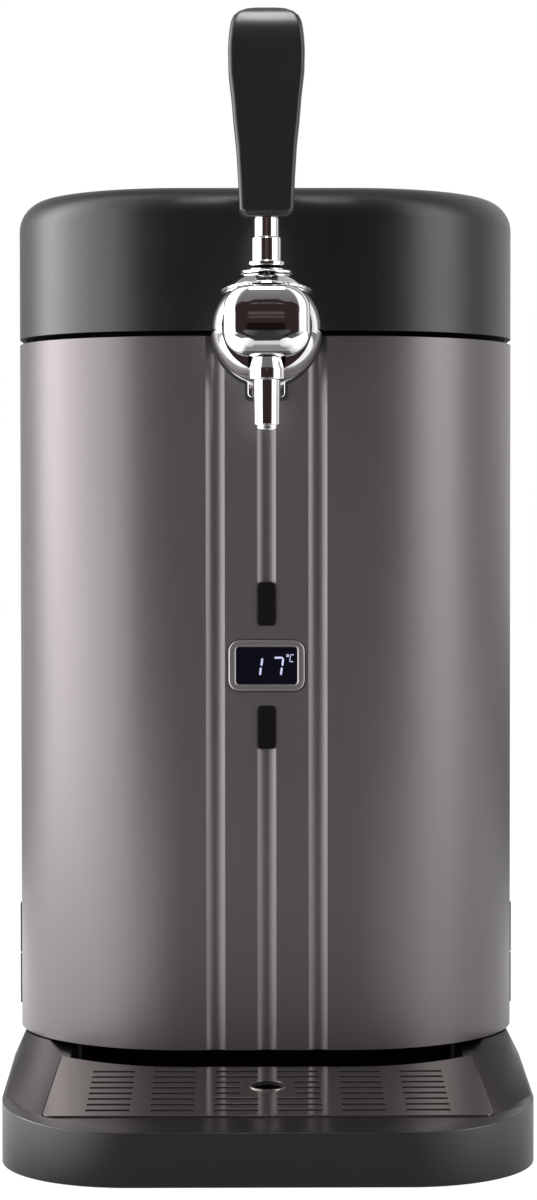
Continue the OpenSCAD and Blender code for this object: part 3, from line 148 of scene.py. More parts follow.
# %% A finish that holds a material
class Finish(Graph):
    """A material whose surface is described by nodes on Object coordinates."""

    def __init__(self, name, colour, roughness, metallic=0.0, coat=0.0, specular=0.5):
        self.material = bpy.data.materials.new(name)
        self.material.use_nodes = True
        super().__init__(self.material.node_tree)
        self.shader = self.tree.nodes["Principled BSDF"]
        self.colour = colour
        self.shader.inputs["Base Color"].default_value = (*colour, 1)
        self.shader.inputs["Roughness"].default_value = roughness
        self.shader.inputs["Metallic"].default_value = metallic
        self.shader.inputs["Coat Weight"].default_value = coat
        self.shader.inputs["Coat Roughness"].default_value = 0.08
        self.shader.inputs["Specular IOR Level"].default_value = specular
        self.material.diffuse_color = (*colour, 1)

    def place(self, stretch=(1, 1, 1)):
        """Object coordinates in metres, stretched along an axis for brushed metal."""
        point = self.node("ShaderNodeTexCoord", {}, {}, "Object")
        return self.node("ShaderNodeMapping", {}, {"Vector": point, "Scale": stretch})

    def noise(self, size, detail, stretch=(1, 1, 1)):
        """Noise whose grains are about `size` metres across, from 0 to 1."""
        settings = {"Vector": self.place(stretch), "Scale": 1 / size, "Detail": detail}
        return self.node("ShaderNodeTexNoise", {}, settings, "Fac")

    def feed(self, name, wire):
        """Leads a wire into one socket of the Principled shader."""
        self.tree.links.new(wire.socket, self.shader.inputs[name])

    def tint(self, mask, other, amount):
        """Blends the base colour towards another one where the mask is high."""
        node = self.node("ShaderNodeMix", {"data_type": "RGBA"},
                         {0: mask * amount, 6: (*self.colour, 1), 7: (*other, 1)}, 2)
        self.feed("Base Color", node)

    def bump(self, height, depth):
        """Raises the surface by up to `depth` metres where the height is 1."""
        normal = self.node("ShaderNodeBump", {}, {"Height": height, "Distance": depth,
                                                  "Strength": 1.0}, "Normal")
        self.feed("Normal", normal)

    def only_glow(self, glow):
        """Gives the whole surface over to another shader, such as a glow."""
        self.tree.links.new(glow.socket, self.tree.nodes["Material Output"].inputs[0])


def shade(colour, factor):
    """The same colour, lighter or darker."""
    return tuple(min(1.0, channel * factor) for channel in colour)


print("finishes can be made")

# %% [markdown]
# A white studio: to the camera the floor and the room are plain white, but every other ray
# sees only the light that a photographer would set. The floor glows at its two sides and in a
# strip in front, and its levels are written as pairs of a place in metres and the brightness
# there. They light the edges of the tray and leave its middle dark.

# %% Floor
floor_size = 12
floor_drop = 0.5 * mm
camera_white = 1.04


def floor_level(paper):
    """Brightness of the floor by place: X runs across, and Y runs in depth."""
    point = paper.node("ShaderNodeTexCoord", {}, {}, "Object")
    across = paper.node("ShaderNodeSeparateXYZ", {}, {0: point}, "X")
    depth = paper.node("ShaderNodeSeparateXYZ", {}, {0: point}, "Y")
    left = paper.fade(across, (-0.28, 2.5), (-0.09, 0.0))
    right = paper.fade(across, (0.07, 0.0), (0.30, 1.3))
    beside = paper.fade(depth, (-0.24, 1.0), (-0.10, 0.6))
    strip = paper.fade(depth, (-0.62, 0.8), (-0.48, 0.29))
    near = paper.fade(depth, (-0.98, 0.05), (-0.85, 1.0))
    far_left = paper.fade(across, (-1.6, 3.4), (-0.7, 0.0))
    far_right = paper.fade(across, (0.7, 0.0), (1.6, 0.8))
    ahead = paper.fade(depth, (0.35, 1.0), (0.9, 0.12))
    return (((left + right) * beside + strip) * near + far_left + far_right) * ahead


def white_floor():
    """A large square under the feet, white to the camera and bright at both sides."""
    bpy.ops.object.select_all(action="DESELECT")
    bpy.ops.mesh.primitive_plane_add(size=floor_size, location=(0, 0, -floor_drop))
    floor = bpy.context.object
    floor.name = "studio_floor"
    paper = Finish("studio_white", (0.3, 0.3, 0.3), 0.9)
    glow = paper.node("ShaderNodeEmission", {}, {"Strength": floor_level(paper)})
    white = paper.node("ShaderNodeEmission", {}, {"Strength": camera_white})
    paper.only_glow(paper.to_camera_and_rest(white, glow))
    floor.data.materials.append(paper.material)
    return floor


print("floor:", white_floor().name)

# %% [markdown]
# The room's brightness depends only on the direction, which is how a ring of soft boxes
# looks: dim in front where the photographer stands, bright at both sides and strongest at
# the left. The rounded corners of the casing mirror these sides as broad upright bands, and
# its middle stays dark. A colour ramp over the compass angle holds the whole ring, and
# upwards the ring fades into a dim ceiling.

# %% Brightness of the room by direction
# Degrees from straight in front, negative to the left, and the brightness there
room_ring = [(-180, 0.7), (-150, 0.4), (-128, 0.9), (-118, 3.2), (-110, 7.6), (-105, 8.0),
             (-95, 6.9), (-88, 5.2), (-75, 3.7), (-58, 3.1), (-44, 2.4), (-38, 0.5),
             (-32, 0.16), (36, 0.15), (43, 0.35), (48, 2.2), (56, 3.7), (70, 5.0), (79, 3.0),
             (90, 0.5), (104, 0.5), (120, 1.1), (180, 0.7)]
ring_peak = 8.0
ring_top = 0.35
zenith = 0.95
zenith_share = 0.30
zenith_level = 0.20
warm_white = (1.0, 0.985, 0.97, 1)


def ring_ramp(room, turn):
    """The ring as a colour ramp over a turn from 0 to 1, as a share of its peak."""
    ramp = room.node("ShaderNodeValToRGB", {}, {0: turn})
    stops = ramp.socket.node.color_ramp.elements
    stops[0].position = 0.0
    stops[1].position = 1.0
    for degrees, brightness in room_ring[1:-1]:
        stops.new(degrees / 360 + 0.5)
    for stop, (degrees, brightness) in zip(stops, room_ring):
        stop.color = (*[brightness / ring_peak] * 3, 1)
    return ramp


def white_room():
    """White to the camera, and a ring of soft light to everything else."""
    world = bpy.data.worlds.new("studio_room")
    bpy.context.scene.world = world
    world.use_nodes = True
    world.node_tree.nodes.clear()
    room = Graph(world.node_tree)
    direction = room.node("ShaderNodeTexCoord", {}, {}, "Generated")
    x, y, z = [room.node("ShaderNodeSeparateXYZ", {}, {0: direction}, axis) for axis in "XYZ"]
    turn = x.maths("ARCTAN2", x, y * -1) * (0.5 / math.pi) + 0.5
    low = room.node("ShaderNodeMapRange", {"interpolation_type": "SMOOTHSTEP"}, {
        "Value": z, "From Min": ring_top, "From Max": zenith,
        "To Min": 1.0, "To Max": zenith_share})
    ceiling = (1.0 - low) * (zenith_level / (1 - zenith_share) / ring_peak)
    level = (ring_ramp(room, turn) * low + ceiling) * ring_peak
    glow = room.node("ShaderNodeBackground", {}, {"Color": warm_white, "Strength": level})
    white = room.node("ShaderNodeBackground", {}, {"Color": (1, 1, 1, 1)})
    out = room.tree.nodes.new("ShaderNodeOutputWorld")
    room.tree.links.new(room.to_camera_and_rest(white, glow).socket, out.inputs[0])


white_room()
bpy.context.scene.view_settings.view_transform = "Standard"
print("room:", bpy.context.scene.world.name)

# %% [markdown]
# Polished chrome shows whatever stands in front of it. A dim card with two paler slats
# hangs behind the camera, as the photographer's screen does, and a small bright card
# hangs over the handle. Only reflections see these cards.

# %% Screen behind the camera
def card_at(name, middle, size, turn, colour, strength=1.0):
    """A glowing rectangle that only mirrored rays see."""
    bpy.ops.object.select_all(action="DESELECT")
    bpy.ops.mesh.primitive_plane_add(size=1, location=middle, rotation=(turn, 0, 0))
    card = bpy.context.object
    card.name = name
    card.scale = (*size, 1)
    cloth = Finish(name, colour, 0.9)
    cloth.only_glow(cloth.node("ShaderNodeEmission", {}, {
        "Color": (*colour, 1), "Strength": strength}))
    card.data.materials.append(cloth.material)
    card.visible_camera = False
    card.visible_diffuse = False
    card.visible_shadow = False
    return card


screen_y = -1.75
slat_y = screen_y + 0.01
upright = math.pi / 2
cards = [
    card_at("screen", (0.05, screen_y, 0.57), (2.6, 1.30), upright, (0.034, 0.022, 0.022)),
    card_at("screen_upper_slat", (0, slat_y, 0.74), (0.52, 0.13), upright, (0.11, 0.078, 0.078)),
    card_at("screen_lower_slat", (0, slat_y, 0.57), (0.52, 0.10), upright, (0.09, 0.062, 0.062)),
    card_at("screen_foot", (0, slat_y, 0.15), (0.56, 0.34), upright, (0.009, 0.005, 0.005)),
    card_at("handle_light", (0, -0.140, 0.565), (0.045, 0.07), 0.0, (1, 0.98, 0.96), 13.0)]
print("cards:", [card.name for card in cards])

# %% [markdown]
# Finishes come before shapes, because the carried-over CAD pieces need them too. Each one
# is made of noise at the size that the real surface has: moulded plastic has a fine grain,
# lacquered steel a faint orange peel, brushed metal long streaks and chrome hardly anything
# but soft smears. The colours follow the photograph, and noise only varies them a little.

# %% Lacquered metal of the casing, the display frame and the drip plate
def lacquer(name, colour, roughness, metallic):
    """Dark metallic lacquer: fine flakes in the colour and orange peel in the surface."""
    finish = Finish(name, colour, roughness, metallic)
    flakes = finish.noise(0.4 * mm, 2)
    clouds = finish.noise(60 * mm, 2)
    finish.tint(flakes * 0.6 + clouds * 0.4, shade(colour, 1.35), 0.5)
    finish.feed("Roughness", roughness - 0.03 + clouds * 0.06)
    finish.bump(finish.noise(1.6 * mm, 2), 0.004 * mm)
    return finish.material


gunmetal = lacquer("gunmetal_lacquer", (0.119, 0.107, 0.110), 0.33, 0.6)
frame_metal = lacquer("display_frame_lacquer", (0.34, 0.32, 0.33), 0.28, 0.85)
dark_steel = lacquer("drip_grid_enamel", (0.20, 0.185, 0.18), 0.11, 0.85)
print("lacquers made")

# %% [markdown]
# Plastic takes its surface from the mould. A photograph shows it as a slightly broken gloss:
# broad clouds vary the colour and the roughness, and a fine grain is pressed in as a bump.
# Rubber, foam, silicone and ceramic are made in the same way, with other grains and colours.

# %% Moulded plastics and rubber
def moulded(name, colour, roughness, grain, depth, specular=0.5, wear=1.5):
    """Plastic from a textured mould: an even grain, and slightly uneven gloss."""
    finish = Finish(name, colour, roughness, specular=specular)
    broad = finish.noise(45 * mm, 3)
    finish.tint(broad, shade(colour, wear), 0.8)
    finish.feed("Roughness", roughness - 0.04 + broad * 0.08)
    finish.bump(finish.noise(grain, 3), depth)
    return finish.material


lid_plastic = moulded("lid_plastic", (0.006, 0.005, 0.006), 0.34, 0.55 * mm, 0.010 * mm)
black_satin = moulded("black_satin_plastic", (0.007, 0.006, 0.006), 0.38, 0.5 * mm, 0.012 * mm)
tray_plastic = moulded("tray_plastic", (0.005, 0.004, 0.004), 0.24, 0.5 * mm, 0.006 * mm, 0.85)
grip_plastic = moulded("grip_plastic", (0.009, 0.008, 0.009), 0.30, 0.4 * mm, 0.008 * mm)
black_gloss = moulded("black_gloss_plastic", (0.006, 0.005, 0.006), 0.14, 3 * mm, 0.003 * mm)
rubber = moulded("black_rubber", (0.014, 0.014, 0.015), 0.62, 0.8 * mm, 0.03 * mm, 0.3)
silicone = moulded("milky_silicone", (0.66, 0.67, 0.68), 0.38, 2 * mm, 0.01 * mm, wear=1.1)
foam = moulded("pale_foam", (0.78, 0.76, 0.71), 0.88, 1.2 * mm, 0.25 * mm, 0.2, wear=0.9)
ceramic = moulded("white_ceramic", (0.80, 0.78, 0.74), 0.55, 0.6 * mm, 0.02 * mm, wear=0.95)
print("plastics made")

# %% [markdown]
# Chrome has no colour of its own, so its look comes from the room and from tiny changes of
# gloss. Plain metal inside the casing is brushed: the noise is stretched along one axis, so
# that its grains turn into long scratches.

# %% Bright metals
def polished(name, colour, roughness):
    """Mirror plating: a hint of smears in the gloss, and no bump that would break lines."""
    finish = Finish(name, colour, roughness, 1.0)
    smears = finish.noise(14 * mm, 4)
    finish.feed("Roughness", roughness + smears * 0.035)
    finish.tint(finish.noise(30 * mm, 2), shade(colour, 0.94), 0.6)
    return finish.material


def brushed(name, colour, roughness, stretch):
    """Metal with fine parallel scratches, long in one direction."""
    finish = Finish(name, colour, roughness, 1.0)
    streaks = finish.noise(0.5 * mm, 4, stretch)
    finish.tint(streaks, shade(colour, 0.72), 0.8)
    finish.feed("Roughness", roughness - 0.06 + streaks * 0.14)
    finish.bump(streaks, 0.01 * mm)
    return finish.material


chrome = polished("polished_chrome", (0.84, 0.835, 0.84), 0.05)
steel = brushed("plain_steel", (0.56, 0.57, 0.58), 0.32, (0.15, 1, 1))
dark_hinge = brushed("blackened_steel", (0.09, 0.09, 0.095), 0.38, (0.1, 1, 1))
aluminium = brushed("plain_aluminium", (0.72, 0.73, 0.75), 0.34, (1, 1, 0.1))
brass = brushed("plain_brass", (0.72, 0.53, 0.25), 0.30, (1, 0.2, 1))
print("metals made")

# %% [markdown]
# The window is nearly black and mirrors the room, which hides everything behind it except
# the numerals, whose own light is dim enough to keep their pale violet colour. The circuit
# board is seen only when the casing is open: its tracks are bands of a wave under green lacquer.

# %% Display and circuit board
def smoked_pane(name):
    """Nearly black glass that mirrors the room sharply, with a faint blue cast."""
    finish = Finish(name, (0.004, 0.004, 0.007), 0.06, coat=0.2)
    finish.feed("Roughness", 0.05 + finish.noise(8 * mm, 2) * 0.04)
    finish.tint(finish.noise(20 * mm, 2), (0.005, 0.005, 0.012), 0.8)
    return finish.material


def lit_segment(name):
    """Pale violet light of the numerals, a little uneven as behind smoked glass."""
    finish = Finish(name, (0.42, 0.43, 0.62), 0.4)
    finish.shader.inputs["Emission Color"].default_value = (0.62, 0.60, 1.0, 1)
    finish.shader.inputs["Emission Strength"].default_value = 0.26
    finish.tint(finish.noise(2 * mm, 2), (0.6, 0.7, 0.9), 0.5)
    return finish.material


def circuit_lacquer(name):
    """Green lacquer with slightly raised tracks underneath."""
    finish = Finish(name, (0.025, 0.14, 0.06), 0.28)
    bands = {"wave_type": "BANDS", "bands_direction": "Z"}
    tracks = finish.node("ShaderNodeTexWave", bands,
                         {"Vector": finish.place(), "Scale": 180.0, "Distortion": 3.0}, "Fac")
    finish.tint(tracks, (0.05, 0.24, 0.10), 0.7)
    finish.bump(tracks, 0.02 * mm)
    return finish.material


smoked_glass = smoked_pane("smoked_window")
numeral_light = lit_segment("numeral_light")
board_green = circuit_lacquer("circuit_lacquer")
print("display finishes made")

# %% [markdown]
# The record names a material slot for every node. Each carried-over CAD node gets the
# finish of its slot, so that the inside is right too when the lid opens. A few nodes get a
# finish of their own, because the real pieces are glossier or duller than their slot.

# %% Finishes on the carried-over pieces
slot_finish = {
    "gunmetal": gunmetal, "black_satin": black_satin, "black_gloss": black_gloss,
    "chrome": chrome, "steel": steel, "aluminium": aluminium, "brass": brass,
    "rubber": rubber, "dark_steel": dark_steel, "foam": foam, "display_glass": smoked_glass,
    "board_green": board_green, "ceramic": ceramic, "silicone": silicone}
slot_of = {part["node"]: part["material_slot"] for part in frame["record"]["subparts"]}
body_of = {node: body for body, held in frame["record"]["behaviour"]["bodies"].items()
           for node in held}
own_finish = {"lid_shell": lid_plastic, "drip_tray": tray_plastic, "handle_grip": grip_plastic,
              "display_bezel": frame_metal, "lid_hinge_leaves": dark_hinge,
              "body_hinge_leaves": dark_hinge}
for name, piece in nodes.items():
    piece.data.materials.clear()
    piece.data.materials.append(own_finish.get(name, slot_finish[slot_of[name]]))
print("finished nodes:", len(nodes))

# %% [markdown]
# Each new piece starts from a primitive and is shaped with the same operators that a hand
# would use. A hand picks faces and edges by eye. Here they are picked in code, by the place
# or the direction of a face, or by the two ends of an edge, and edit mode is left open for
# the next operator.

# %% Helpers for picking
def only(piece):
    """Makes one object the only selected and active one, in object mode."""
    active = bpy.context.view_layer.objects.active
    if active and active.mode != "OBJECT":
        bpy.ops.object.mode_set(mode="OBJECT")
    bpy.ops.object.select_all(action="DESELECT")
    piece.select_set(True)
    bpy.context.view_layer.objects.active = piece


def pick_faces(piece, test):
    """Opens edit mode with the faces selected whose centre and normal pass the test."""
    only(piece)
    bpy.ops.object.mode_set(mode="EDIT")
    bpy.ops.mesh.select_mode(type="FACE")
    bpy.ops.mesh.select_all(action="DESELECT")
    bpy.ops.object.mode_set(mode="OBJECT")
    for face in piece.data.polygons:
        face.select = test(face.center, face.normal)
    bpy.ops.object.mode_set(mode="EDIT")


def pick_edges(piece, test):
    """Opens edit mode with the edges selected whose two ends pass the test."""
    only(piece)
    bpy.ops.object.mode_set(mode="EDIT")
    bpy.ops.mesh.select_mode(type="EDGE")
    bpy.ops.mesh.select_all(action="DESELECT")
    bpy.ops.object.mode_set(mode="OBJECT")
    points = piece.data.vertices
    for edge in piece.data.edges:
        edge.select = test(points[edge.vertices[0]].co, points[edge.vertices[1]].co)
    bpy.ops.object.mode_set(mode="EDIT")


def leave():
    """Returns from edit mode to object mode."""
    bpy.ops.object.mode_set(mode="OBJECT")


print("picking ready")

# %% [markdown]
# Every piece ends in the same way. Its modifiers are applied, its edges are softened, its
# shading is smoothed without losing real edges, and it is dressed: it gets its finish, rides on
# its CAD body and stands for its CAD nodes.

# %% Helpers for finishing a piece
def apply_all(piece):
    """Applies the modifiers in their order, so that the mesh holds the final shape."""
    only(piece)
    for modifier in list(piece.modifiers):
        bpy.ops.object.modifier_apply(modifier=modifier.name)


def soften(piece, width, segments=2, angle=30):
    """Rounds every sharp edge a little, as moulded and pressed parts have them."""
    bevel = piece.modifiers.new("soft_edges", "BEVEL")
    bevel.width = width
    bevel.segments = segments
    bevel.limit_method = "ANGLE"
    bevel.angle_limit = math.radians(angle)
    bevel.harden_normals = False
    bevel.use_clamp_overlap = True
    apply_all(piece)


def smooth(piece, angle=35):
    """Smooth shading that keeps real edges, with large faces leading the normals."""
    only(piece)
    bpy.ops.object.shade_smooth_by_angle(angle=math.radians(angle))
    weigh = piece.modifiers.new("large_faces_lead", "WEIGHTED_NORMAL")
    weigh.keep_sharp = True
    apply_all(piece)


def dress(piece, finish, *replaced, body=None):
    """Gives the finish, the body and the replaced nodes to a finished piece."""
    piece.data.materials.clear()
    piece.data.materials.append(finish)
    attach(piece, body or body_of[replaced[0]])
    if replaced:
        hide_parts(*replaced)
    print(piece.name, len(piece.data.polygons), "faces")
    return piece


print("finishing ready")


# %% [markdown]
# The outer walls, the lid, the tray and the base already have their right shape in the CAD
# model, but the CAD mesh is loose triangles with knife-sharp edges, and such edges never
# catch the light. A copy is merged, its edges are rounded by a fraction of a millimetre,
# and its flat faces lead the shading, so that the long reflections stay straight.

# %% Refine a copy of a CAD node
merge_distance = 0.003 * mm
flat_angle = math.radians(0.5)


def refined(node, name, finish, edge, segments=2, angle=30):
    """A merged copy of a CAD node with soft edges, which stands for the node."""
    bpy.ops.object.select_all(action="DESELECT")
    piece = nodes[node].copy()
    piece.data = nodes[node].data.copy()
    piece.parent = None
    bpy.context.collection.objects.link(piece)
    piece.matrix_world = Matrix.Identity(4)
    piece.name = name
    piece.data.name = name
    only(piece)
    bpy.ops.object.mode_set(mode="EDIT")
    bpy.ops.mesh.select_all(action="SELECT")
    bpy.ops.mesh.remove_doubles(threshold=merge_distance)
    bpy.ops.mesh.dissolve_limited(angle_limit=flat_angle)
    leave()
    soften(piece, edge, segments, angle)
    smooth(piece)
    return dress(piece, finish, node)


refined("lid_shell", "lid_cover", lid_plastic, 0.5 * mm)
refined("front_shell", "casing_wall", gunmetal, 0.35 * mm)
refined("rear_cover", "rear_wall", black_satin, 0.5 * mm)
refined("base_pan", "base_skirt", black_satin, 0.4 * mm)
refined("side_vents", "side_grilles", black_satin, 0.25 * mm)
refined("drip_tray", "drip_basin", tray_plastic, 0.7 * mm, 3)
refined("drip_plate", "drip_grid", dark_steel, 0.22 * mm)

# %% [markdown]
# The tap is all polished chrome, which forgives nothing: a faceted edge would show as a
# broken highlight. So its pieces are modelled again with fine rings. The stem, the collar
# and the pipe are turned parts: one ring of edges is extruded and resized station by
# station along the outline, up the outside and down the bore, until it meets its start.

# %% A turned piece
turned_sides = 96
ring_merge = 0.002 * mm


def turned(name, y, profile):
    """Carries a ring along a closed outline of (radius, height) about an upright axis."""
    radius, height = profile[0]
    bpy.ops.object.select_all(action="DESELECT")
    bpy.ops.mesh.primitive_circle_add(vertices=turned_sides, radius=radius,
                                      location=(0, y, height))
    piece = bpy.context.object
    piece.name = name
    piece.data.name = name
    bpy.ops.object.transform_apply(location=True, rotation=True, scale=True)
    bpy.ops.object.mode_set(mode="EDIT")
    bpy.ops.mesh.select_mode(type="EDGE")
    bpy.ops.mesh.select_all(action="SELECT")
    for next_radius, next_height in profile[1:] + profile[:1]:
        lift = (0, 0, next_height - height)
        share = next_radius / radius
        bpy.ops.mesh.extrude_region_move(TRANSFORM_OT_translate={"value": lift})
        bpy.ops.transform.resize(value=(share, share, 1), center_override=(0, y, next_height))
        radius, height = next_radius, next_height
    bpy.ops.mesh.select_all(action="SELECT")
    bpy.ops.mesh.remove_doubles(threshold=ring_merge)
    bpy.ops.mesh.normals_make_consistent(inside=False)
    leave()
    return piece


def in_metres(stations):
    """Stations of an outline, given in millimetres."""
    return [(radius * mm, height * mm) for radius, height in stations]


print("turned pieces can be made")

# %% [markdown]
# The stem stands on the ball's middle, and the collar and the pipe hang in front of it. The
# stem's outline climbs from a wide foot over two small steps to a slim neck. The collar
# narrows upwards, and the pipe widens upwards from a thin ring at its mouth.

# %% Stem, collar and pipe
# Places of the ball, the spout and the shank, in millimetres out from the body's front
# and up from the table
ball_out = 26.5
ball_up = 353.75
spout_out = 40
shank_up = 353.25
ball_y = front_y - ball_out * mm
ball_z = ball_up * mm
spout_y = front_y - spout_out * mm
stem_outline = in_metres([(2.58, 380.86), (4.7, 380.58), (8.0, 380.57), (8.35, 380.9),
                          (8.35, 382.2), (8.0, 382.55), (7.0, 382.58), (6.75, 382.85),
                          (6.75, 392.4), (6.3, 392.93), (5.9, 392.96), (5.65, 393.2),
                          (5.65, 402.4), (2.58, 402.4)])
collar_outline = in_metres([(3.86, 330.77), (7.5, 330.77), (7.93, 331.2), (7.93, 335.3),
                            (7.75, 335.9), (6.5, 340.4), (3.86, 340.4)])
pipe_outline = in_metres([(3.86, 309.47), (4.3, 309.47), (4.62, 309.8), (4.62, 311.1),
                          (5.3, 311.27), (5.6, 311.6), (5.84, 330.7), (3.86, 330.7)])
for node, name, y, outline in (("lever_stem", "stem_turned", ball_y, stem_outline),
                               ("spout_collar", "collar_turned", spout_y, collar_outline),
                               ("spout_tube", "pipe_turned", spout_y, pipe_outline)):
    piece = turned(name, y, outline)
    soften(piece, 0.12 * mm, 2, 25)
    smooth(piece, 40)
    dress(piece, chrome, node)

# %% [markdown]
# Slots and bores are cut out with simple cutters: cuboids and round bars. Their places are
# given in millimetres across, from the body's front and from the table, as a drawing of the
# tap would give them. Spheres are needed for the ball, its bonnet and the slot's cover.

# %% Cutters and spheres
def block(name, low, high):
    """A cuboid between two corners, given in millimetres from the front and the table."""
    size = [(b - a) * mm for a, b in zip(low, high)]
    middle = [(a + b) / 2 * mm for a, b in zip(low, high)]
    bpy.ops.object.select_all(action="DESELECT")
    bpy.ops.mesh.primitive_cube_add(size=1, location=(middle[0], front_y + middle[1], middle[2]))
    piece = bpy.context.object
    piece.name = name
    piece.scale = size
    bpy.ops.object.transform_apply(location=True, rotation=True, scale=True)
    return piece


bar_sides = 64
bar_turns = {"X": (0, math.pi / 2, 0), "Y": (math.pi / 2, 0, 0), "Z": (0, 0, 0)}


def bar(name, radius, start, length, axis):
    """A round bar from a start point along X, Y or Z, in millimetres."""
    middle = list(start)
    middle["XYZ".index(axis)] += length / 2
    bpy.ops.object.select_all(action="DESELECT")
    bpy.ops.mesh.primitive_cylinder_add(
        vertices=bar_sides, radius=radius * mm, depth=length * mm, rotation=bar_turns[axis],
        location=(middle[0] * mm, front_y + middle[1] * mm, middle[2] * mm))
    piece = bpy.context.object
    piece.name = name
    bpy.ops.object.transform_apply(location=True, rotation=True, scale=True)
    return piece


def carve(piece, *cutters, operation="DIFFERENCE"):
    """Applies each cutter and removes it."""
    for cutter in cutters:
        cut = piece.modifiers.new("cut", "BOOLEAN")
        cut.operation = operation
        cut.solver = "EXACT"
        cut.object = cutter
        apply_all(piece)
        bpy.data.objects.remove(cutter)
    return piece


def round_ball(name, radius, turn, segments=128, rings=64):
    """A fine sphere about the middle of the tap's ball, with its poles turned about X."""
    bpy.ops.object.select_all(action="DESELECT")
    bpy.ops.mesh.primitive_uv_sphere_add(segments=segments, ring_count=rings,
                                         radius=radius * mm, location=(0, ball_y, ball_z),
                                         rotation=(math.radians(turn), 0, 0))
    piece = bpy.context.object
    piece.name = name
    piece.data.name = name
    bpy.ops.object.transform_apply(location=True, rotation=True, scale=True)
    return piece


def slice_off(piece, point, normal, fill):
    """Bisects the piece at a plane and clears the side that the normal points to."""
    only(piece)
    bpy.ops.object.mode_set(mode="EDIT")
    bpy.ops.mesh.select_all(action="SELECT")
    bpy.ops.mesh.bisect(plane_co=point, plane_no=normal, use_fill=fill, clear_outer=True)
    leave()


print("cutters ready")

# %% [markdown]
# The ball starts as a sphere whose poles point to the front and the rear, so that its
# rings run parallel to the flat front. It is bisected there and at the neck, the neck is
# extruded from the rear cut, and the slot and bores are taken out of the result.

# %% Ball
ball_r = 24.2
face_out = 41
neck_out = 6.1
neck_step = (0, 2.58 * mm, -0.5 * mm)
spout_foot = 305
slot_front = -39.5
slot_rear = -22.5

tap_ball = round_ball("tap_ball", ball_r, 90)
slice_off(tap_ball, (0, front_y - face_out * mm, ball_z), (0, -1, 0), True)
slice_off(tap_ball, (0, front_y - neck_out * mm, ball_z), (0, 1, 0), True)
pick_faces(tap_ball, lambda centre, normal: normal.y > 0.99)
bpy.ops.mesh.extrude_region_move(TRANSFORM_OT_translate={"value": neck_step})
leave()
carve(tap_ball,
      bar("socket", 7.96, (0, -spout_out, spout_foot), 35.45, "Z"),
      bar("bore", 3.9, (0, -spout_out, spout_foot), 39.4, "Z"),
      bar("shank_room", 10.05, (0, -20.5, shank_up), 25, "Y"),
      block("yoke_room", (-5, -38.5, ball_up - 15), (5, -15, ball_up + 6)),
      block("lever_slot", (-3.5, slot_front, ball_up), (3.5, slot_rear, ball_up + 26.25)),
      bar("seat_room", 8, (0, -ball_out, shank_up), 7, "Y"),
      bar("pivot_hole", 2.06, (-26, -ball_out, ball_up), 52, "X"))
soften(tap_ball, 0.25 * mm, 2, 40)
smooth(tap_ball, 30)
dress(tap_ball, chrome, "tap_body")

# %% [markdown]
# The bonnet and the slot cover are parts of thin shells about the same middle. Each is a
# sphere cut to a cap, which gets its wall with the Solidify modifier. The bonnet is turned
# back by ten degrees, and its slot lets the lever swing.

# %% Bonnet and slot cover
bonnet_r = 25.68
bonnet_lean = 10
bonnet_half_angle = math.radians(52)
bonnet_wall = 1.25 * mm
cover_r = 27.18
cover_half_angle = math.radians(26)
cover_flat = 27.05 * mm
cover_wall = 1.15 * mm


def shell_from(piece, thickness):
    """Gives a cap cut from a sphere its wall, which grows inwards."""
    wall = piece.modifiers.new("wall", "SOLIDIFY")
    wall.thickness = thickness
    wall.offset = -1
    apply_all(piece)


def finish_shell(piece, node):
    """Rounds the rims of a shell a little and dresses it in chrome."""
    soften(piece, 0.2 * mm, 2, 40)
    smooth(piece, 30)
    dress(piece, chrome, node)


bonnet = round_ball("tap_bonnet_skin", bonnet_r, bonnet_lean)
lean = math.radians(bonnet_lean)
upward = Vector((0, math.sin(lean), math.cos(lean)))
rim = Vector((0, ball_y, ball_z)) + upward * bonnet_r * mm * math.cos(bonnet_half_angle)
slice_off(bonnet, rim, -upward, False)
shell_from(bonnet, bonnet_wall)
carve(bonnet,
      block("slot", (-3.3, slot_front, ball_up), (3.3, slot_rear, ball_up + 48.25)),
      bar("neck_room", 13.06, (0, -ball_out, shank_up), 30, "Y"))
finish_shell(bonnet, "tap_bonnet")

cover = round_ball("slot_cover_skin", cover_r, 0)
cover_rim_z = ball_z + cover_r * mm * math.cos(cover_half_angle)
slice_off(cover, (0, ball_y, cover_rim_z), (0, 0, -1), False)
slice_off(cover, (0, ball_y, ball_z + cover_flat), (0, 0, 1), False)
shell_from(cover, cover_wall)
finish_shell(cover, "slot_cover")

# %% [markdown]
# The front cap is a pillow with a gently bulged face and widely rolled edges. Its rounded
# outline is extruded forward and resized step by step round the rolled edge, the flat face
# comes out a little further, and a large flat ellipsoid cuts it to its bulge. In this
# bulge the photograph mirrors the dark screen.

# %% Front cap
cap_z = 355.95
cap_half = (18.65, 15.48)
cap_gap = 0.02
cap_wall = 2.5
cap_out = face_out + cap_wall
cap_corner_r = 11 * mm
cap_corner_steps = 16
# How far the rolled edge reaches inwards across, forwards, and inwards upright
edge_roll = (9.0, 6.55, 10.1)
roll_steps = 14
last_turn = math.radians(80)
nose = 2 * mm


def rolled_size(turn):
    """Half width, half height and reach of the cap's outline at one turn of the roll."""
    inwards = 1 - math.cos(turn)
    return (cap_half[0] - edge_roll[0] * inwards, cap_half[1] - edge_roll[2] * inwards,
            edge_roll[1] * math.sin(turn))


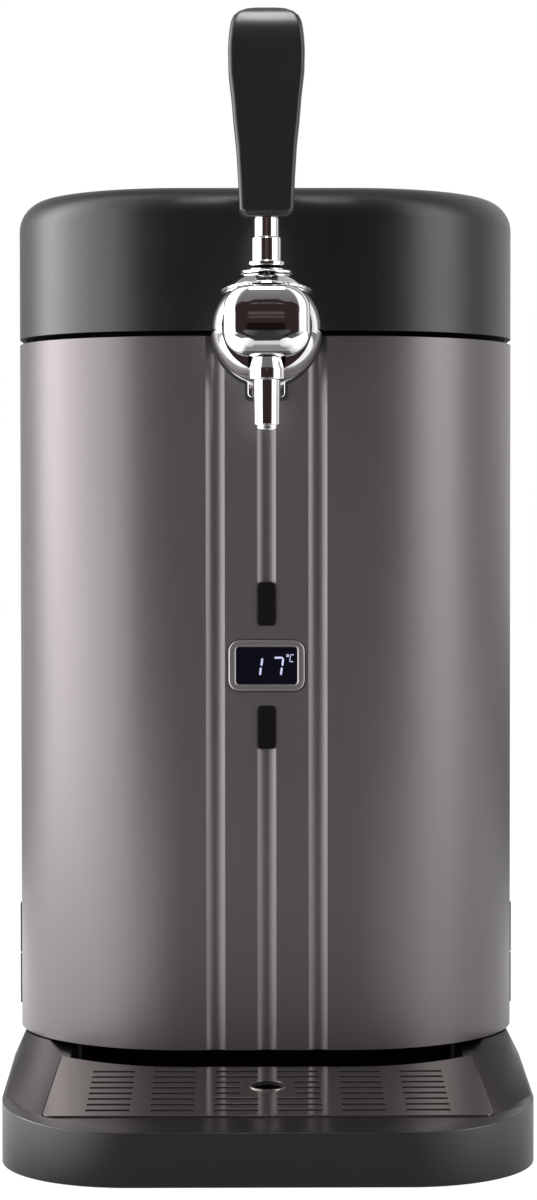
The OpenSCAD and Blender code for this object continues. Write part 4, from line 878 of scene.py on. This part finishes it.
def pillow():
    """A rounded block whose front edge is rolled over by extruding and resizing."""
    piece = block("tap_cap", (-cap_half[0], -cap_out, cap_z - cap_half[1]),
                  (cap_half[0], -face_out - cap_gap, cap_z + cap_half[1]))
    pick_edges(piece, lambda a, b: abs(a.y - b.y) > 1 * mm)
    bpy.ops.mesh.bevel(offset=cap_corner_r, segments=cap_corner_steps, affect="EDGES")
    leave()
    pick_faces(piece, lambda centre, normal: normal.y < -0.9)
    half_x, half_z, out = rolled_size(0)
    for step in range(1, roll_steps + 1):
        next_x, next_z, next_out = rolled_size(last_turn * step / roll_steps)
        middle = (0, front_y - (cap_out + next_out) * mm, cap_z * mm)
        bpy.ops.mesh.extrude_region_move(
            TRANSFORM_OT_translate={"value": (0, (out - next_out) * mm, 0)})
        bpy.ops.transform.resize(value=(next_x / half_x, 1, next_z / half_z),
                                 center_override=middle)
        half_x, half_z, out = next_x, next_z, next_out
    bpy.ops.mesh.extrude_region_move(TRANSFORM_OT_translate={"value": (0, -nose, 0)})
    leave()
    return piece


front_cap = pillow()
bulge_ball_r = 10
bulge_stretch = (4.61, 2.0, 2.59)
bulge_middle = Vector((0, front_y - 31 * mm, cap_z * mm))
bulge = round_ball("bulge", bulge_ball_r, 90, 192, 96)
ball_middle = Vector((0, ball_y, ball_z))
only(bulge)
bpy.ops.transform.resize(value=bulge_stretch, center_override=ball_middle)
bpy.ops.transform.translate(value=bulge_middle - ball_middle)
bpy.ops.object.transform_apply(location=True, rotation=True, scale=True)
carve(front_cap, bulge, operation="INTERSECT")
smooth(front_cap, 35)
dress(front_cap, chrome, "tap_front_cap")

# %% [markdown]
# Behind the ball, the chrome plate and the rubber washer lie flat against the body. Their
# outlines are right in the CAD model, so they are refined copies: the plate gets a wide
# edge of three steps that catches a bright line all round.

# %% Plate and washer behind the tap
refined("tap_flange", "flange_plate", chrome, 0.45 * mm, 3)
refined("tap_gasket", "washer", rubber, 0.3 * mm)

# %% [markdown]
# The handle is one moulded paddle. It grows out of a small block: the top face is extruded
# and resized again and again, with a new width and depth at each height, and near the top
# it also moves back, so that the front rolls over. The four long edges get a narrow bevel.

# %% Handle
foot_z = 401.45
grip_edge = 2.1 * mm
# Height above the foot, width, front and rear of each section, in millimetres
grip_stations = [(0, 19.6, -6.5, 6.5), (2.6, 23.6, -8.4, 8.4), (16.2, 24.6, -8.7, 8.7),
                 (30, 26.3, -9.2, 9.2), (40.3, 28.5, -9.9, 9.9), (50.7, 30.2, -10.5, 10.5),
                 (61.5, 32.7, -11.1, 11.1), (71, 33.1, -11.45, 11.45),
                 (76, 32.6, -11.3, 11.4), (80, 31.7, -10.8, 11.2), (83.5, 30.6, -9.8, 10.9),
                 (86.4, 28.2, -8.2, 10.3), (88.6, 23.6, -6.0, 9.4), (90.0, 18.2, -3.6, 8.2),
                 (90.6, 13.0, -1.4, 6.8)]


def paddle():
    """Carries the top face of a small block through all stations of the grip."""
    height, width, front, rear = grip_stations[0]
    low = (-width / 2, front - ball_out, foot_z + height)
    height = grip_stations[1][0]
    piece = block("paddle", low, (width / 2, rear - ball_out, foot_z + height))
    pick_faces(piece, lambda centre, normal: normal.z > 0.9)
    for next_height, next_width, next_front, next_rear in grip_stations[1:]:
        if next_height > height:
            rise = (0, 0, (next_height - height) * mm)
            bpy.ops.mesh.extrude_region_move(TRANSFORM_OT_translate={"value": rise})
            height = next_height
        top_middle = (0, ball_y + (front + rear) / 2 * mm, (foot_z + height) * mm)
        deeper = (next_rear - next_front) / (rear - front)
        shift = (next_front + next_rear - front - rear) / 2 * mm
        bpy.ops.transform.resize(value=(next_width / width, deeper, 1),
                                 center_override=top_middle)
        bpy.ops.transform.translate(value=(0, shift, 0))
        width, front, rear = next_width, next_front, next_rear
    leave()
    return piece


hole_start = (0, -ball_out, foot_z - 5)
grip = paddle()
pick_edges(grip, lambda a, b: abs(a.z - b.z) > 0.3 * mm)
bpy.ops.mesh.bevel(offset=grip_edge, segments=2, affect="EDGES")
leave()
carve(grip, bar("rod_hole", 2.55, hole_start, 35, "Z"),
      bar("stem_hole", 5.68, hole_start, 25.5, "Z"))
soften(grip, 0.7 * mm, 3, 40)
smooth(grip, 40)
dress(grip, grip_plastic, "handle_grip")

# %% [markdown]
# The display is a metal frame round a dark pane, with a long button above and below. All
# four have their shape in the CAD model, and get soft edges that catch the light. The frame
# gets the widest ones, because the photograph shows its sides as bright rolled bands.

# %% Frame, pane and buttons
refined("display_bezel", "display_frame", frame_metal, 1.1 * mm, 5)
refined("display_window", "display_pane", smoked_glass, 0.25 * mm)
refined("button_up", "upper_button", black_gloss, 0.8 * mm, 4, 40)
refined("button_down", "lower_button", black_gloss, 0.8 * mm, 4, 40)

print("display pieces refined")

# %% [markdown]
# The numerals are bars with tapered ends, as in every segment display. They lie on the pane
# as thin solids that glow. One bar of each size is modelled from a cube whose ends are
# extruded and narrowed, and all the others are copies of other lengths, turned or moved.

# %% One bar of the numerals
numeral_y = front_y - 0.48 * mm
bar_depth = 0.08 * mm
tip_share = 0.25


def segment(name, length, width):
    """A flat bar with tapered ends, upright, at the middle of the window's plane."""
    bpy.ops.object.select_all(action="DESELECT")
    bpy.ops.mesh.primitive_cube_add(size=1, location=(0, numeral_y, 0))
    bar_piece = bpy.context.object
    bar_piece.name = name
    bar_piece.scale = (width, bar_depth, length - width)
    bpy.ops.object.transform_apply(location=True, rotation=True, scale=True)
    for side in (1, -1):
        pick_faces(bar_piece, lambda centre, normal: normal.z * side > 0.9)
        bpy.ops.mesh.extrude_region_move(
            TRANSFORM_OT_translate={"value": (0, 0, side * width / 2)})
        bpy.ops.transform.resize(value=(tip_share, 1, 1), center_override=(0, numeral_y, 0))
        leave()
    return bar_piece


def placed_copy(pattern, x, z, stretch, turn):
    """A copy with its own mesh, lengthened, turned and moved into the window's plane."""
    copy = pattern.copy()
    copy.data = pattern.data.copy()
    bpy.context.collection.objects.link(copy)
    only(copy)
    copy.scale = (1, 1, stretch)
    copy.location = (x * mm, 0, z * mm)
    bpy.ops.object.transform_apply(location=True, rotation=True, scale=True)
    bpy.ops.object.mode_set(mode="EDIT")
    bpy.ops.mesh.select_all(action="SELECT")
    bpy.ops.transform.rotate(value=math.radians(turn), orient_axis="Y",
                             center_override=(x * mm, numeral_y, z * mm))
    leave()
    return copy


print("bars can be made")

# %% [markdown]
# Each bar of the two figures and of the degree sign with its letter has a place in this
# small table. Upright bars lean to the right, as on most displays. The bars are joined to
# one piece, which rides on the window's body and replaces nothing, since they are light.

# %% Numerals
slant = -7
pattern = segment("numeral_bar", 4.0 * mm, 0.90 * mm)
small = segment("unit_bar", 1.9 * mm, 0.34 * mm)
# Middle of each bar across and up, its length as a share of the pattern's, and its turn
large_bars = [(-2.75, 203.3, 0.86, slant), (-2.1, 207.4, 0.86, slant),
              (6.55, 203.3, 0.86, slant), (7.2, 207.4, 0.86, slant), (5.35, 209.3, 0.98, 90)]
small_bars = [(8.95, 210.25, 0.45, 0), (9.75, 210.25, 0.45, 0), (9.35, 210.7, 0.45, 90),
              (9.35, 209.8, 0.45, 90), (10.35, 208.3, 0.82, slant), (10.55, 209.8, 0.82, slant),
              (11.35, 210.6, 0.85, 90), (11.05, 207.5, 0.85, 90)]
parts = [placed_copy(pattern, *place) for place in large_bars]
parts += [placed_copy(small, *place) for place in small_bars]
for source in (pattern, small):
    bpy.data.objects.remove(source)
only(parts[0])
for part in parts[1:]:
    part.select_set(True)
bpy.ops.object.join()
numerals = bpy.context.object
numerals.name = "numerals"
numerals.data.name = "numerals"
dress(numerals, numeral_light, body=body_of["display_window"])

# %% [markdown]
# One plain panel closes the body above the drip tray's bay. It is seen only from below or
# with the tray drawn out, so a refined copy with a small edge is enough.

# %% Panel above the tray's bay
refined("bay_cover", "bay_panel", black_satin, 0.3 * mm)
